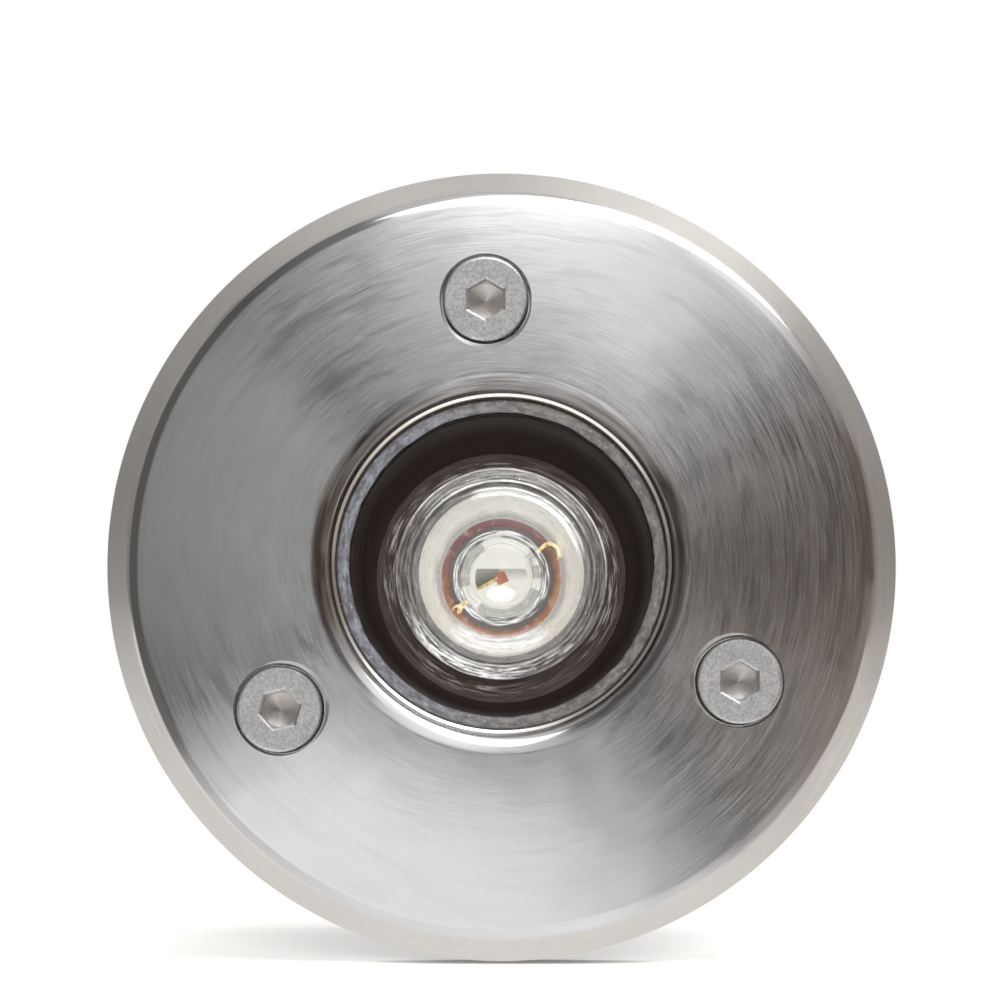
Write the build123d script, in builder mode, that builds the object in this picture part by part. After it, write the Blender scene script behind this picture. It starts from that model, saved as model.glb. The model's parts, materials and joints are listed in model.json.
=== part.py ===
from build123d import *
import math
import os

os.makedirs("parts", exist_ok=True)

# A recessed spotlight: a domed stainless face ring with a lamp behind its glass, in a wall sleeve.
# The light axis is the Y axis. The face looks towards -Y and the recess goes towards +Y. Depth 0 is
# the wall's surface, and so is the rim of the sleeve, which is set flush in it. +Z is up.
# Sizes are in millimetres. Radii grow outwards from the LED, depths go back from the face.

# LED on its board
chip_width = 1.4
chip_height = 0.3
chip_turn = 25
bond_wire_reach = 3.2
bond_wire_rise = 0.5
bond_wire_radius = 0.12
bond_wire_angle = 215
emitter_rim = 0.8
emitter_thickness = 0.8
led_lens_radius = 5.1
led_lens_height = 7.2
led_lens_crown = 0.8
led_lens_centre_radius = 3.3
led_lens_ridges = 3
led_lens_ridge_height = 0.15
led_cavity_radius = 3.8
led_cavity_height = 1.1
contact_gap = 0.2
contact_width = 1.2
contact_thickness = 0.15
lead_strip_width = 0.6
lead_strip_thickness = 0.15
lead_strip_leg_gap = 0.15
lead_strip_foot = 1.0
lead_strip_angles = (34, 215)
board_thickness = 1.6
board_gap = 0.1

# Reflector cup, lens and the holder that carries them
cup_base_gap = 0.2
cup_flare = 2.4
cup_bulge = 0.35
cup_wall = 0.7
holder_clearance = 0.1
holder_wall = 1.1
holder_flange_thickness = 1.2
holder_height = 10.8
lens_overhang = 0.9
lens_thickness = 3.0
lens_steps = 3
lens_step_width = 0.9
lens_step_height = 0.7
lens_crown = 0.5

# Baffle tube
lens_gap = 2.5
baffle_length = 27.0
baffle_wall_front = 1.3
baffle_wall_back = 3.6
baffle_fit = 0.05

# Face ring
spigot_wall = 3.05
spigot_length = 9.0
crown_height = 7.7
crown_radius = 80.0
chamfer_run = 3.05
rim_land = 1.6
rim_roundover = 3.4
rim_edge_break = 0.3
mouth_roundover = 2.8
mouth_depth = 5.0
bore_step = 0.1
ledge_lip = 0.1
ledge_thickness = 2.0
ring_overlap = 8.0

# Glass
glass_thickness = 4.0
glass_clearance = 0.4
glass_edge = 0.4
glass_gasket_thickness = 0.8
glass_gasket_inset = 0.1
bead_height = 0.6
bead_width = 1.4
bead_nose = 0.5

# Three low head socket cap screws, M6
screw_count = 3
screw_start_angle = 93.5
screw_names = ("screw_top", "screw_left", "screw_right")
socket_turns = (30, 13.5, 30)
screw_radius = 3.0
screw_length = 16.0
screw_tip = 0.6
screw_head_radius = 4.9
screw_head_height = 4.0
screw_head_roundover = 0.45
socket_width = 4.0
socket_depth = 2.3
socket_cone = 1.0
socket_cone_angle = 60
head_recess = 0.35
head_clearance = 0.32
counterbore_edge = 0.45
counterbore_edge_angle = -45
screw_hole_clearance = 0.2
screw_washer_thickness = 0.6
screw_washer_rim = 0.15
retainer_thickness = 0.8
retainer_rim = 2.0
screw_fit = 0.05

# Barrel and its back end
thread_clearance = 0.1
barrel_wall = 2.0
barrel_edge = 0.5
oring_radius = 0.7
oring_groove_width = 2.0
oring_groove_depth = 1.25
oring_seat_gap = 0.03
oring_inset = 2.2
cap_thickness = 3.0
cap_spigot_length = 6.0
cap_spigot_wall = 3.0
cap_edge = 0.6
spanner_hole_count = 4
spanner_hole_radius = 1.75
spanner_hole_circle = 18.0
spanner_hole_depth = 2.0

# Heat sink and its clamp
thermal_pad_radius = 16.0
thermal_pad_thickness = 0.3
heat_sink_length = 12.0
heat_sink_slots = 12
heat_sink_slot_width = 2.2
heat_sink_slot_inner = 5.5
heat_sink_slot_outer = 16.0
heat_sink_slot_depth = 6.0
clamp_length = 4.0
clamp_width = 4.4
clamp_slot_width = 3.0
clamp_slot_depth = 2.0

# Driver board and what stands on it
standoff_length = 10.0
standoff_width = 5.0
standoff_circle = 12.5
standoff_count = 3
standoff_start_angle = 90
standoff_stub_length = 5.0
driver_thickness = 1.6
driver_radius = 18.5
driver_screw_radius = 1.25
driver_screw_length = 5.0
driver_screw_head_radius = 2.25
driver_screw_head_height = 1.6
driver_screw_slot = 0.6
driver_hole_clearance = 0.1
driver_room = 11.2
inductor_place = (-7.0, 6.0)
inductor_radius = 4.5
inductor_height = 7.0
inductor_flange = 1.4
inductor_waist = 1.2
capacitor_places = ((6.5, 8.0), (10.5, 1.5))
capacitor_radius = 3.15
capacitor_height = 8.0
capacitor_edge = 0.4
rectifier_place = (-9.0, -1.0)
rectifier_size = (5.0, 4.0)
rectifier_height = 2.5
rectifier_edge = 0.5
driver_chip_place = (1.0, -1.0)
driver_chip_size = (5.0, 4.0)
driver_chip_height = 1.5
driver_chip_legs = 4
driver_chip_leg_pitch = 1.27
driver_chip_leg_width = 0.4
driver_chip_leg_reach = 1.0
terminal_place = (0.0, -11.5)
terminal_size = (10.0, 7.6)
terminal_height = 8.5
terminal_entry_radius = 1.4
terminal_entry_height = 3.0
terminal_entry_depth = 5.0
terminal_screw_radius = 1.5
terminal_screw_depth = 2.0
terminal_pitch = 5.0

# Leads from the driver board to the LED board
lead_radius = 0.7
lead_hole_clearance = 0.3
lead_driver_circle = 7.4
lead_straight = 3.0
lead_offset_run = 3.6
lead_bend_radius = 4.4
lead_angles = {"lead_red": 0, "lead_black": 180}
solder_height = 0.7
solder_angle = 30
solder_foot_radius = 0.95

# Cable gland
gland_thread_radius = 6.0
gland_hex_thickness = 4.5
gland_washer_overhang = 1.2
gland_washer_thickness = 1.0
gland_inside_length = 2.0
gland_bore_radius = 3.3
gland_collar_radius = 5.6
gland_collar_length = 6.5
gland_seal_radius = 4.6
gland_seal_length = 6.0
cable_radius = 3.05
gland_nut_clearance = 0.1
gland_nut_wall = 1.8
gland_nut_end = 2.0
gland_nut_hole_radius = 3.6
gland_nut_edge = 1.0
gland_nut_stand_off = 0.6

# Sleeve in the wall
boss_gap = 1.1
boss_wall = 0.7
boss_sink = 0.1
boss_length = 16.0
insert_wall = 1.15
insert_length = 13.0
insert_recess = 0.2
insert_fit = 0.02
sleeve_wall = 2.2
sleeve_base = 3.0
sleeve_end_flange = 1.5
sleeve_end_fit = 0.05
sleeve_tail_room = 5.0
sleeve_collar_length = 30.0
rib_count = 12
rib_width = 2.0
rib_height = 0.8
rib_end = 3.0
outlet_radius = 10.25
flange_gasket_thickness = 1.0
flange_gasket_inset = 0.6
gasket_hole_clearance = 0.3

# Cuts run this far past the faces they go through
overrun = 1.0

# Radii, from the LED outwards. The face ring comes out at 90 mm across.
emitter_radius = led_lens_radius + emitter_rim
contact_inner = emitter_radius + contact_gap
contact_outer = contact_inner + contact_width
cup_base_inner = contact_outer + cup_base_gap
cup_mouth_inner = cup_base_inner + cup_flare
holder_inner = cup_mouth_inner + cup_wall + holder_clearance
holder_outer = holder_inner + holder_wall
lens_radius = holder_outer + lens_overhang
baffle_inner_back = lens_radius + lens_gap
baffle_outer = baffle_inner_back + baffle_wall_back
baffle_inner_front = baffle_outer - baffle_wall_front
ledge_inner = baffle_inner_front + ledge_lip
bore_radius = baffle_outer + bore_step
glass_radius = bore_radius - glass_clearance
spigot_inner = baffle_outer + baffle_fit
spigot_outer = spigot_inner + spigot_wall
barrel_inner = spigot_outer + thread_clearance
barrel_outer = barrel_inner + barrel_wall
gland_hex_width = 2 * (gland_collar_radius + gland_nut_clearance + gland_nut_wall)
insert_inner = screw_radius + screw_fit
insert_outer = insert_inner + insert_wall
boss_radius = insert_outer + boss_wall
screw_circle = barrel_outer + boss_gap + boss_radius
sleeve_inner = screw_circle + boss_radius - boss_sink
sleeve_outer = sleeve_inner + sleeve_wall
sleeve_collar_outer = sleeve_outer + rib_height
ring_radius = sleeve_outer + ring_overlap
lead_circle = (cup_base_inner + cup_wall + holder_inner) / 2

# Depths, from the face backwards
ring_back = -flange_gasket_thickness
crown_top = ring_back - crown_height
rim_land_front = ring_back - rim_land
glass_front = crown_top + mouth_depth
glass_back = glass_front + glass_thickness
ledge_front = glass_back + glass_gasket_thickness
ledge_back = ledge_front + ledge_thickness
spigot_back = ring_back + spigot_length
baffle_back = ledge_back + baffle_length
board_front = baffle_back + holder_flange_thickness
board_back = board_front + board_thickness
contact_front = board_front - contact_thickness
emitter_front = board_front - emitter_thickness
lens_back = baffle_back - holder_height
lens_front = lens_back - lens_thickness
pad_back = board_back + thermal_pad_thickness
heat_sink_back = pad_back + heat_sink_length
driver_front = heat_sink_back + standoff_length
driver_back = driver_front + driver_thickness
cap_front = driver_back + driver_room + cap_spigot_length
cap_back = cap_front + cap_thickness
gland_washer_back = cap_back + gland_washer_thickness
gland_hex_back = gland_washer_back + gland_hex_thickness
gland_nut_front = gland_hex_back + gland_nut_stand_off
gland_nut_back = gland_hex_back + gland_collar_length + gland_nut_clearance + gland_nut_end
sleeve_back = gland_nut_back + sleeve_tail_room + sleeve_base

# The crown is one arc from the rim's corner to the mouth's corner
rim_corner = (ring_radius - chamfer_run, rim_land_front - chamfer_run)
mouth_corner = (bore_radius, crown_top)
crown_chord = Vector(*mouth_corner) - Vector(*rim_corner)
crown_sink = math.sqrt(crown_radius**2 - (crown_chord.length / 2) ** 2)
crown_middle = (Vector(*mouth_corner) + Vector(*rim_corner)) / 2
crown_centre = crown_middle + Vector(-crown_chord.Y, crown_chord.X).normalized() * -crown_sink


def crown_depth(radius):
    """Depth of the crown's surface at a radius."""
    return crown_centre.Y - math.sqrt(crown_radius**2 - (radius - crown_centre.X) ** 2)


head_front = crown_depth(screw_circle) + head_recess
head_back = head_front + screw_head_height
counterbore_floor = head_back + screw_washer_thickness
counterbore_radius = screw_head_radius + head_clearance
screw_hole_radius = screw_radius + screw_hole_clearance


def at_depth(depth):
    """The plane square to the light axis at a depth, seen from the front: x to the right, y up."""
    return Plane.XZ.offset(-depth)


def turned(*outline, mode=Mode.ADD):
    """Turns a closed outline of (radius, depth) points about the light axis, in the open part."""
    with BuildSketch(Plane.XY) as section:
        with BuildLine():
            Polyline(*outline, close=True)
        make_face()
    revolve(section.sketch, axis=Axis.Y, mode=mode)


def turned_ring(inner, outer, front, back, mode=Mode.ADD):
    """A plain ring, or a disc where inner is 0, from its front face to its back face."""
    turned((inner, front), (outer, front), (outer, back), (inner, back), mode=mode)


def turned_disc(outer, front, back, edge):
    """A disc with both of its edges chamfered."""
    turned(
        (0, front),
        (outer - edge, front),
        (outer, front + edge),
        (outer, back - edge),
        (outer - edge, back),
        (0, back),
    )


def bored(radius, circle, count, start_angle, front, back, mode=Mode.SUBTRACT):
    """Round holes, or pegs with Mode.ADD, spaced on a circle about the light axis."""
    with BuildSketch(at_depth(front)) as holes:
        with PolarLocations(circle, count, start_angle):
            Circle(radius)
    extrude(holes.sketch, amount=front - back, mode=mode)


def lead_holes(front, back):
    """The two holes that the LED leads pass through."""
    for angle in lead_angles.values():
        bored(lead_radius + lead_hole_clearance, lead_circle, 1, angle, front, back)


def oring(name, groove_floor, depth):
    """An O-ring in its groove, squeezed between the groove's floor and the barrel."""
    room = (barrel_inner - groove_floor) / 2
    with BuildPart() as ring:
        with BuildSketch(Plane.XY):
            with Locations((groove_floor + room, depth)):
                Circle(min(oring_radius, room - oring_seat_gap))
        revolve(axis=Axis.Y)
    write(ring, name)


def write(piece, name):
    """Labels a finished piece and writes its file."""
    piece.part.label = name
    export_step(piece.part, f"parts/{name}.step")


# Face ring: turned from stainless bar. The spigot behind it takes the glass, the tube and the barrel.
groove_floor = spigot_outer - oring_groove_depth
groove_front = ring_back + oring_inset
with BuildPart() as face_ring:
    with BuildSketch(Plane.XY) as ring_section:
        with BuildLine():
            Polyline(
                mouth_corner,
                (bore_radius, ledge_front),
                (ledge_inner, ledge_front),
                (ledge_inner, ledge_back),
                (spigot_inner, ledge_back),
                (spigot_inner, spigot_back),
                (spigot_outer, spigot_back),
                (spigot_outer, ring_back),
                (ring_radius, ring_back),
                (ring_radius, rim_land_front),
                rim_corner,
            )
            ThreePointArc(rim_corner, (crown_middle.X, crown_depth(crown_middle.X)), mouth_corner)
        make_face()
        fillet(ring_section.vertices().sort_by_distance(rim_corner)[0], rim_roundover)
        fillet(ring_section.vertices().sort_by_distance(mouth_corner)[0], mouth_roundover)
        chamfer(ring_section.vertices().sort_by_distance((ring_radius, ring_back))[0], rim_edge_break)
    revolve(axis=Axis.Y)
    turned_ring(
        groove_floor, spigot_outer + overrun, groove_front, groove_front + oring_groove_width, Mode.SUBTRACT
    )
    with Locations(at_depth(crown_top)):
        with PolarLocations(screw_circle, screw_count, screw_start_angle):
            CounterBoreHole(
                radius=screw_hole_radius,
                counter_bore_radius=counterbore_radius,
                counter_bore_depth=counterbore_floor - crown_top,
                depth=ring_back - crown_top + overrun,
            )
    # The high side of each counterbore has a turned edge that catches the light
    edge_start = crown_depth(screw_circle - counterbore_radius) + counterbore_edge
    with BuildSketch(at_depth(edge_start)):
        with PolarLocations(screw_circle, screw_count, screw_start_angle):
            Circle(counterbore_radius)
    extrude(amount=counterbore_edge + overrun, taper=counterbore_edge_angle, mode=Mode.SUBTRACT)
write(face_ring, "face_ring")
oring("barrel_oring", groove_floor, groove_front + oring_groove_width / 2)

# Front glass: a flat toughened disc with ground edges, laid in the mouth
with BuildPart() as front_glass:
    turned_disc(glass_radius, glass_front, glass_back, glass_edge)
write(front_glass, "front_glass")

# Silicone bead: fills the gap round the glass and stands as a low ring on its edge
bead_inner = bore_radius - bead_width
with BuildPart() as glass_bead:
    turned(
        (bore_radius, glass_front - bead_height),
        (bead_inner + bead_nose, glass_front - bead_height / 2),
        (bead_inner, glass_front),
        (glass_radius - glass_edge, glass_front),
        (glass_radius, glass_front + glass_edge),
        (glass_radius, glass_back),
        (bore_radius, glass_back),
    )
write(glass_bead, "glass_bead")

# Gasket between the glass and its ledge
with BuildPart() as glass_gasket:
    turned_ring(
        ledge_inner + glass_gasket_inset, bore_radius - glass_gasket_inset, glass_back, ledge_front
    )
write(glass_gasket, "glass_gasket")

# Baffle tube: black anodised, a little narrower inside at its deep end
with BuildPart() as baffle_tube:
    turned(
        (baffle_inner_front, ledge_back),
        (baffle_outer, ledge_back),
        (baffle_outer, baffle_back),
        (baffle_inner_back, baffle_back),
    )
write(baffle_tube, "baffle_tube")

# Lens holder: a black collar on a flange, clamped between the tube and the LED board
with BuildPart() as lens_holder:
    turned(
        (holder_inner, lens_back),
        (holder_outer, lens_back),
        (holder_outer, baffle_back),
        (barrel_inner - board_gap, baffle_back),
        (barrel_inner - board_gap, board_front),
        (holder_inner, board_front),
    )
write(lens_holder, "lens_holder")

# Lamp lens: clear, with a low crown in the middle and a stepped rim
with BuildPart() as lamp_lens:
    lens_face_radius = lens_radius - lens_steps * lens_step_width
    with BuildSketch(Plane.XY):
        with BuildLine():
            steps = [(lens_face_radius, lens_front)]
            for step in range(lens_steps):
                radius, depth = steps[-1]
                steps.append((radius, depth + lens_step_height))
                steps.append((radius + lens_step_width, depth + lens_step_height))
            Polyline(*steps, (lens_radius, lens_back), (0, lens_back), (0, lens_front - lens_crown))
            crown_rise = lens_crown / 4
            ThreePointArc(
                (0, lens_front - lens_crown),
                (lens_face_radius / 2, lens_front - lens_crown + crown_rise),
                (lens_face_radius, lens_front),
            )
        make_face()
    revolve(axis=Axis.Y)
write(lamp_lens, "lamp_lens")

# Reflector cup: cream plastic, flared from the LED board up to the back of the lens
with BuildPart() as reflector_cup:
    cup_middle = (cup_base_inner + cup_mouth_inner) / 2 + cup_bulge
    cup_half_depth = (board_front + lens_back) / 2
    with BuildSketch(Plane.XY):
        with BuildLine():
            ThreePointArc(
                (cup_base_inner, board_front), (cup_middle, cup_half_depth), (cup_mouth_inner, lens_back)
            )
            Line((cup_mouth_inner, lens_back), (cup_mouth_inner + cup_wall, lens_back))
            ThreePointArc(
                (cup_mouth_inner + cup_wall, lens_back),
                (cup_middle + cup_wall, cup_half_depth),
                (cup_base_inner + cup_wall, board_front),
            )
            Line((cup_base_inner + cup_wall, board_front), (cup_base_inner, board_front))
        make_face()
    revolve(axis=Axis.Y)
write(reflector_cup, "reflector_cup")

# LED board: an aluminium-core disc under the lens holder's flange
with BuildPart() as led_board:
    turned_ring(0, barrel_inner - board_gap, board_front, board_back)
    lead_holes(board_front - overrun, board_back + overrun)
write(led_board, "led_board")

# Contact ring: a bare copper ring round the LED
with BuildPart() as contact_ring:
    turned_ring(contact_inner, contact_outer, contact_front, board_front)
write(contact_ring, "contact_ring")

# Emitter base: the LED's round metal foot
with BuildPart() as emitter_base:
    turned_ring(0, emitter_radius, emitter_front, board_front)
write(emitter_base, "emitter_base")

# LED chip: one square chip in the middle of the base
with BuildPart() as led_chip:
    with BuildSketch(at_depth(emitter_front)):
        Rectangle(chip_width, chip_width, rotation=chip_turn)
    extrude(amount=chip_height)
write(led_chip, "led_chip")

# Bond wire: an arc of gold wire from the chip down to the base
wire_out = Vector(math.cos(math.radians(bond_wire_angle)), 0, math.sin(math.radians(bond_wire_angle)))
wire_start = wire_out * (chip_width / 2) + Vector(0, emitter_front - chip_height, 0)
wire_end = wire_out * bond_wire_reach + Vector(0, emitter_front - bond_wire_radius, 0)
wire_top = (wire_start + wire_end) / 2 - Vector(0, bond_wire_rise, 0)
with BuildPart() as bond_wire:
    with BuildLine():
        wire_route = ThreePointArc(wire_start, wire_top, wire_end)
    with BuildSketch(Plane(origin=wire_route @ 0, z_dir=wire_route % 0)):
        Circle(bond_wire_radius)
    sweep()
write(bond_wire, "bond_wire")

# LED lens: moulded clear over the chip, with fine ridges round a domed middle and a hollow foot
led_lens_front = emitter_front - led_lens_height
ridge_width = (led_lens_radius - led_lens_centre_radius) / led_lens_ridges
with BuildPart() as led_lens:
    with BuildSketch(Plane.XY):
        with BuildLine():
            ridges = [(led_lens_centre_radius, led_lens_front)]
            for ridge in range(led_lens_ridges):
                radius, depth = ridges[-1]
                ridges.append((radius + ridge_width, depth + led_lens_ridge_height))
                if ridge < led_lens_ridges - 1:
                    ridges.append((radius + ridge_width, depth))
            Polyline(
                *ridges,
                (led_lens_radius, emitter_front),
                (led_cavity_radius, emitter_front),
                (led_cavity_radius, emitter_front - led_cavity_height),
                (0, emitter_front - led_cavity_height),
                (0, led_lens_front - led_lens_crown),
            )
            ThreePointArc(
                (0, led_lens_front - led_lens_crown),
                (led_lens_centre_radius / 2, led_lens_front - led_lens_crown * 3 / 4),
                (led_lens_centre_radius, led_lens_front),
            )
        make_face()
    revolve(axis=Axis.Y)
write(led_lens, "led_lens")

# Gold leads: two thin strips from the emitter's base down on to the contact ring
strip_start = led_lens_radius + lead_strip_thickness
leg_inner = emitter_radius + lead_strip_leg_gap
leg_outer = leg_inner + lead_strip_thickness
with BuildPart() as gold_leads:
    for angle in lead_strip_angles:
        outwards = Vector(math.cos(math.radians(angle)), 0, math.sin(math.radians(angle)))
        strip_plane = Plane(origin=(0, 0, 0), x_dir=outwards, z_dir=outwards.cross(Vector(0, 1, 0)))
        with BuildSketch(strip_plane):
            with BuildLine():
                Polyline(
                    (strip_start, emitter_front),
                    (strip_start, emitter_front - lead_strip_thickness),
                    (leg_outer, emitter_front - lead_strip_thickness),
                    (leg_outer, contact_front - lead_strip_thickness),
                    (leg_inner + lead_strip_foot, contact_front - lead_strip_thickness),
                    (leg_inner + lead_strip_foot, contact_front),
                    (leg_inner, contact_front),
                    (leg_inner, emitter_front),
                    close=True,
                )
            make_face()
        extrude(amount=lead_strip_width / 2, both=True)
write(gold_leads, "gold_leads")

# Solder joints: a low cone of solder where each lead comes through the LED board
with BuildPart() as solder_joints:
    for angle in lead_angles.values():
        with BuildSketch(at_depth(board_front)):
            with PolarLocations(lead_circle, 1, angle):
                Circle(solder_foot_radius)
        extrude(amount=solder_height, taper=solder_angle)
write(solder_joints, "solder_joints")

# Thermal pad between the LED board and the heat sink
with BuildPart() as thermal_pad:
    turned_ring(0, thermal_pad_radius, board_back, pad_back)
    lead_holes(board_back - overrun, pad_back + overrun)
write(thermal_pad, "thermal_pad")

# Heat sink: an aluminium plug that fills the barrel, slotted at its back
slot_length = heat_sink_slot_outer - heat_sink_slot_inner
stub_radius = driver_screw_radius + driver_hole_clearance
with BuildPart() as heat_sink:
    turned_ring(0, barrel_inner - board_gap, pad_back, heat_sink_back)
    with BuildSketch(at_depth(heat_sink_back)):
        with PolarLocations(heat_sink_slot_inner + slot_length / 2, heat_sink_slots, 180 / heat_sink_slots):
            SlotOverall(slot_length, heat_sink_slot_width)
    extrude(amount=heat_sink_slot_depth, mode=Mode.SUBTRACT)
    lead_holes(pad_back - overrun, heat_sink_back + overrun)
    bored(
        stub_radius,
        standoff_circle,
        standoff_count,
        standoff_start_angle,
        heat_sink_back - standoff_stub_length - driver_hole_clearance,
        heat_sink_back + overrun,
    )
write(heat_sink, "heat_sink")

# Clamp ring: screwed into the barrel behind the heat sink, with two slots for a spanner
clamp_outer = barrel_inner - board_gap
clamp_back = heat_sink_back + clamp_length
with BuildPart() as clamp_ring:
    turned_ring(clamp_outer - clamp_width, clamp_outer, heat_sink_back, clamp_back)
    with BuildSketch(at_depth(clamp_back)):
        Rectangle(clamp_outer * 2 + overrun, clamp_slot_width)
    extrude(amount=clamp_slot_depth, mode=Mode.SUBTRACT)
write(clamp_ring, "clamp_ring")

# Stand-offs: three hexagon posts with a stub in the heat sink and a tapped hole at the back
with BuildPart() as driver_standoffs:
    with BuildSketch(at_depth(heat_sink_back)):
        with PolarLocations(standoff_circle, standoff_count, standoff_start_angle):
            RegularPolygon(standoff_width / 2, 6, major_radius=False)
    extrude(amount=-standoff_length)
    bored(
        driver_screw_radius,
        standoff_circle,
        standoff_count,
        standoff_start_angle,
        heat_sink_back - standoff_stub_length,
        heat_sink_back,
        Mode.ADD,
    )
    bored(
        stub_radius,
        standoff_circle,
        standoff_count,
        standoff_start_angle,
        driver_front - driver_screw_length,
        driver_front + overrun,
    )
write(driver_standoffs, "driver_standoffs")

# Driver board: a round circuit board on the stand-offs
with BuildPart() as driver_board:
    turned_ring(0, driver_radius, driver_front, driver_back)
    bored(
        stub_radius,
        standoff_circle,
        standoff_count,
        standoff_start_angle,
        driver_front - overrun,
        driver_back + overrun,
    )
write(driver_board, "driver_board")

# Driver screws: three pan head screws through the board
driver_screw_front = driver_back - driver_screw_length
driver_screw_back = driver_back + driver_screw_head_height
with BuildPart() as driver_screws:
    for radius, front, back in (
        (driver_screw_radius, driver_screw_front, driver_back),
        (driver_screw_head_radius, driver_back, driver_screw_back),
    ):
        bored(radius, standoff_circle, standoff_count, standoff_start_angle, front, back, Mode.ADD)
    with BuildSketch(at_depth(driver_screw_back)):
        with PolarLocations(standoff_circle, standoff_count, standoff_start_angle):
            Rectangle(driver_screw_head_radius * 2 + overrun, driver_screw_slot)
    extrude(amount=driver_screw_head_height / 2, mode=Mode.SUBTRACT)
write(driver_screws, "driver_screws")

# Inductor: a drum core, narrower where its winding lies
with BuildPart() as driver_inductor:
    waist_front = driver_back + inductor_flange
    waist_back = driver_back + inductor_height - inductor_flange
    for radius, front, back in (
        (inductor_radius, driver_back, waist_front),
        (inductor_radius - inductor_waist, waist_front, waist_back),
        (inductor_radius, waist_back, driver_back + inductor_height),
    ):
        with BuildSketch(at_depth(front)):
            with Locations(inductor_place):
                Circle(radius)
        extrude(amount=front - back)
write(driver_inductor, "driver_inductor")

# Capacitors: two cans with rolled ends
with BuildPart() as driver_capacitors:
    with BuildSketch(at_depth(driver_back)):
        with Locations(*capacitor_places):
            Circle(capacitor_radius)
    extrude(amount=-capacitor_height)
    fillet(driver_capacitors.faces().sort_by(Axis.Y)[-2:].edges(), capacitor_edge)
write(driver_capacitors, "driver_capacitors")

# Rectifier: a flat block with bevelled edges at its back
with BuildPart() as driver_rectifier:
    with BuildSketch(at_depth(driver_back)):
        with Locations(rectifier_place):
            Rectangle(*rectifier_size)
    extrude(amount=-rectifier_height)
    chamfer(driver_rectifier.faces().sort_by(Axis.Y)[-1].edges(), rectifier_edge)
write(driver_rectifier, "driver_rectifier")

# Driver chip: a flat block on two rows of legs
with BuildPart() as driver_chip:
    with BuildSketch(at_depth(driver_back)):
        with Locations(driver_chip_place):
            Rectangle(*driver_chip_size)
    extrude(amount=-driver_chip_height)
    leg_span = driver_chip_size[1] + driver_chip_leg_reach * 2
    with BuildSketch(at_depth(driver_back)):
        with Locations(driver_chip_place):
            with GridLocations(driver_chip_leg_pitch, leg_span, driver_chip_legs, 1):
                Rectangle(driver_chip_leg_width, leg_span)
    extrude(amount=-driver_chip_height / 3)
write(driver_chip, "driver_chip")

# Terminal block: two wire entries in its side and a clamp screw hole over each
with BuildPart() as terminal_block:
    with BuildSketch(at_depth(driver_back)):
        with Locations(terminal_place):
            Rectangle(*terminal_size)
    extrude(amount=-terminal_height)
    entry_face = terminal_place[1] + terminal_size[1] / 2
    with Locations(Plane(origin=(terminal_place[0], driver_back + terminal_entry_height, entry_face))):
        with GridLocations(terminal_pitch, 0, 2, 1):
            Hole(terminal_entry_radius, depth=terminal_entry_depth)
    with BuildSketch(at_depth(driver_back + terminal_height)):
        with Locations(terminal_place):
            with GridLocations(terminal_pitch, 0, 2, 1):
                Circle(terminal_screw_radius)
    extrude(amount=terminal_screw_depth, mode=Mode.SUBTRACT)
write(terminal_block, "terminal_block")

# Leads: straight off the driver board, one gentle step outwards, then through the heat sink
for name, angle in lead_angles.items():
    outwards = Vector(math.cos(math.radians(angle)), 0, math.sin(math.radians(angle)))
    step_end = driver_front - lead_straight - lead_offset_run
    route_points = [
        outwards * lead_driver_circle + Vector(0, driver_front, 0),
        outwards * lead_driver_circle + Vector(0, driver_front - lead_straight, 0),
        outwards * lead_circle + Vector(0, step_end, 0),
        outwards * lead_circle + Vector(0, board_front, 0),
    ]
    with BuildPart() as lead:
        with BuildLine():
            route = FilletPolyline(*route_points, radius=lead_bend_radius)
        with BuildSketch(Plane(origin=route @ 0, z_dir=route % 0)):
            Circle(lead_radius)
        sweep()
    print(name, "volume", lead.part.volume, "section by length", math.pi * lead_radius**2 * route.length)
    write(lead, name)

# Lamp barrel: stainless tube screwed on the ring's spigot
with BuildPart() as lamp_barrel:
    turned(
        (barrel_inner, ring_back),
        (barrel_outer, ring_back),
        (barrel_outer, cap_front - barrel_edge),
        (barrel_outer - barrel_edge, cap_front),
        (barrel_inner, cap_front),
    )
write(lamp_barrel, "lamp_barrel")

# Rear cap: screwed into the barrel, with blind holes for a pin spanner and a tapped hole for the gland
cap_spigot_outer = barrel_inner - thread_clearance
cap_groove_floor = cap_spigot_outer - oring_groove_depth
cap_groove_back = cap_front - oring_inset
cap_groove_front = cap_groove_back - oring_groove_width
with BuildPart() as rear_cap:
    turned(
        (0, cap_front),
        (cap_spigot_outer - cap_spigot_wall, cap_front),
        (cap_spigot_outer - cap_spigot_wall, cap_front - cap_spigot_length),
        (cap_spigot_outer, cap_front - cap_spigot_length),
        (cap_spigot_outer, cap_front),
        (barrel_outer, cap_front),
        (barrel_outer, cap_back - cap_edge),
        (barrel_outer - cap_edge, cap_back),
        (0, cap_back),
    )
    turned_ring(
        cap_groove_floor, cap_spigot_outer + overrun, cap_groove_front, cap_groove_back, Mode.SUBTRACT
    )
    turned_ring(
        0, gland_thread_radius + thread_clearance, cap_front - overrun, cap_back + overrun, Mode.SUBTRACT
    )
    bored(
        spanner_hole_radius,
        spanner_hole_circle,
        spanner_hole_count,
        0,
        cap_back - spanner_hole_depth,
        cap_back + overrun,
    )
write(rear_cap, "rear_cap")
oring("rear_cap_oring", cap_groove_floor, (cap_groove_front + cap_groove_back) / 2)

# Gland washer: seals the gland's hexagon on the cap
with BuildPart() as gland_washer:
    washer_inner = gland_thread_radius + thread_clearance
    washer_outer = gland_hex_width / 2 + gland_washer_overhang
    turned_ring(washer_inner, washer_outer, cap_back, gland_washer_back)
write(gland_washer, "gland_washer")

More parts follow.
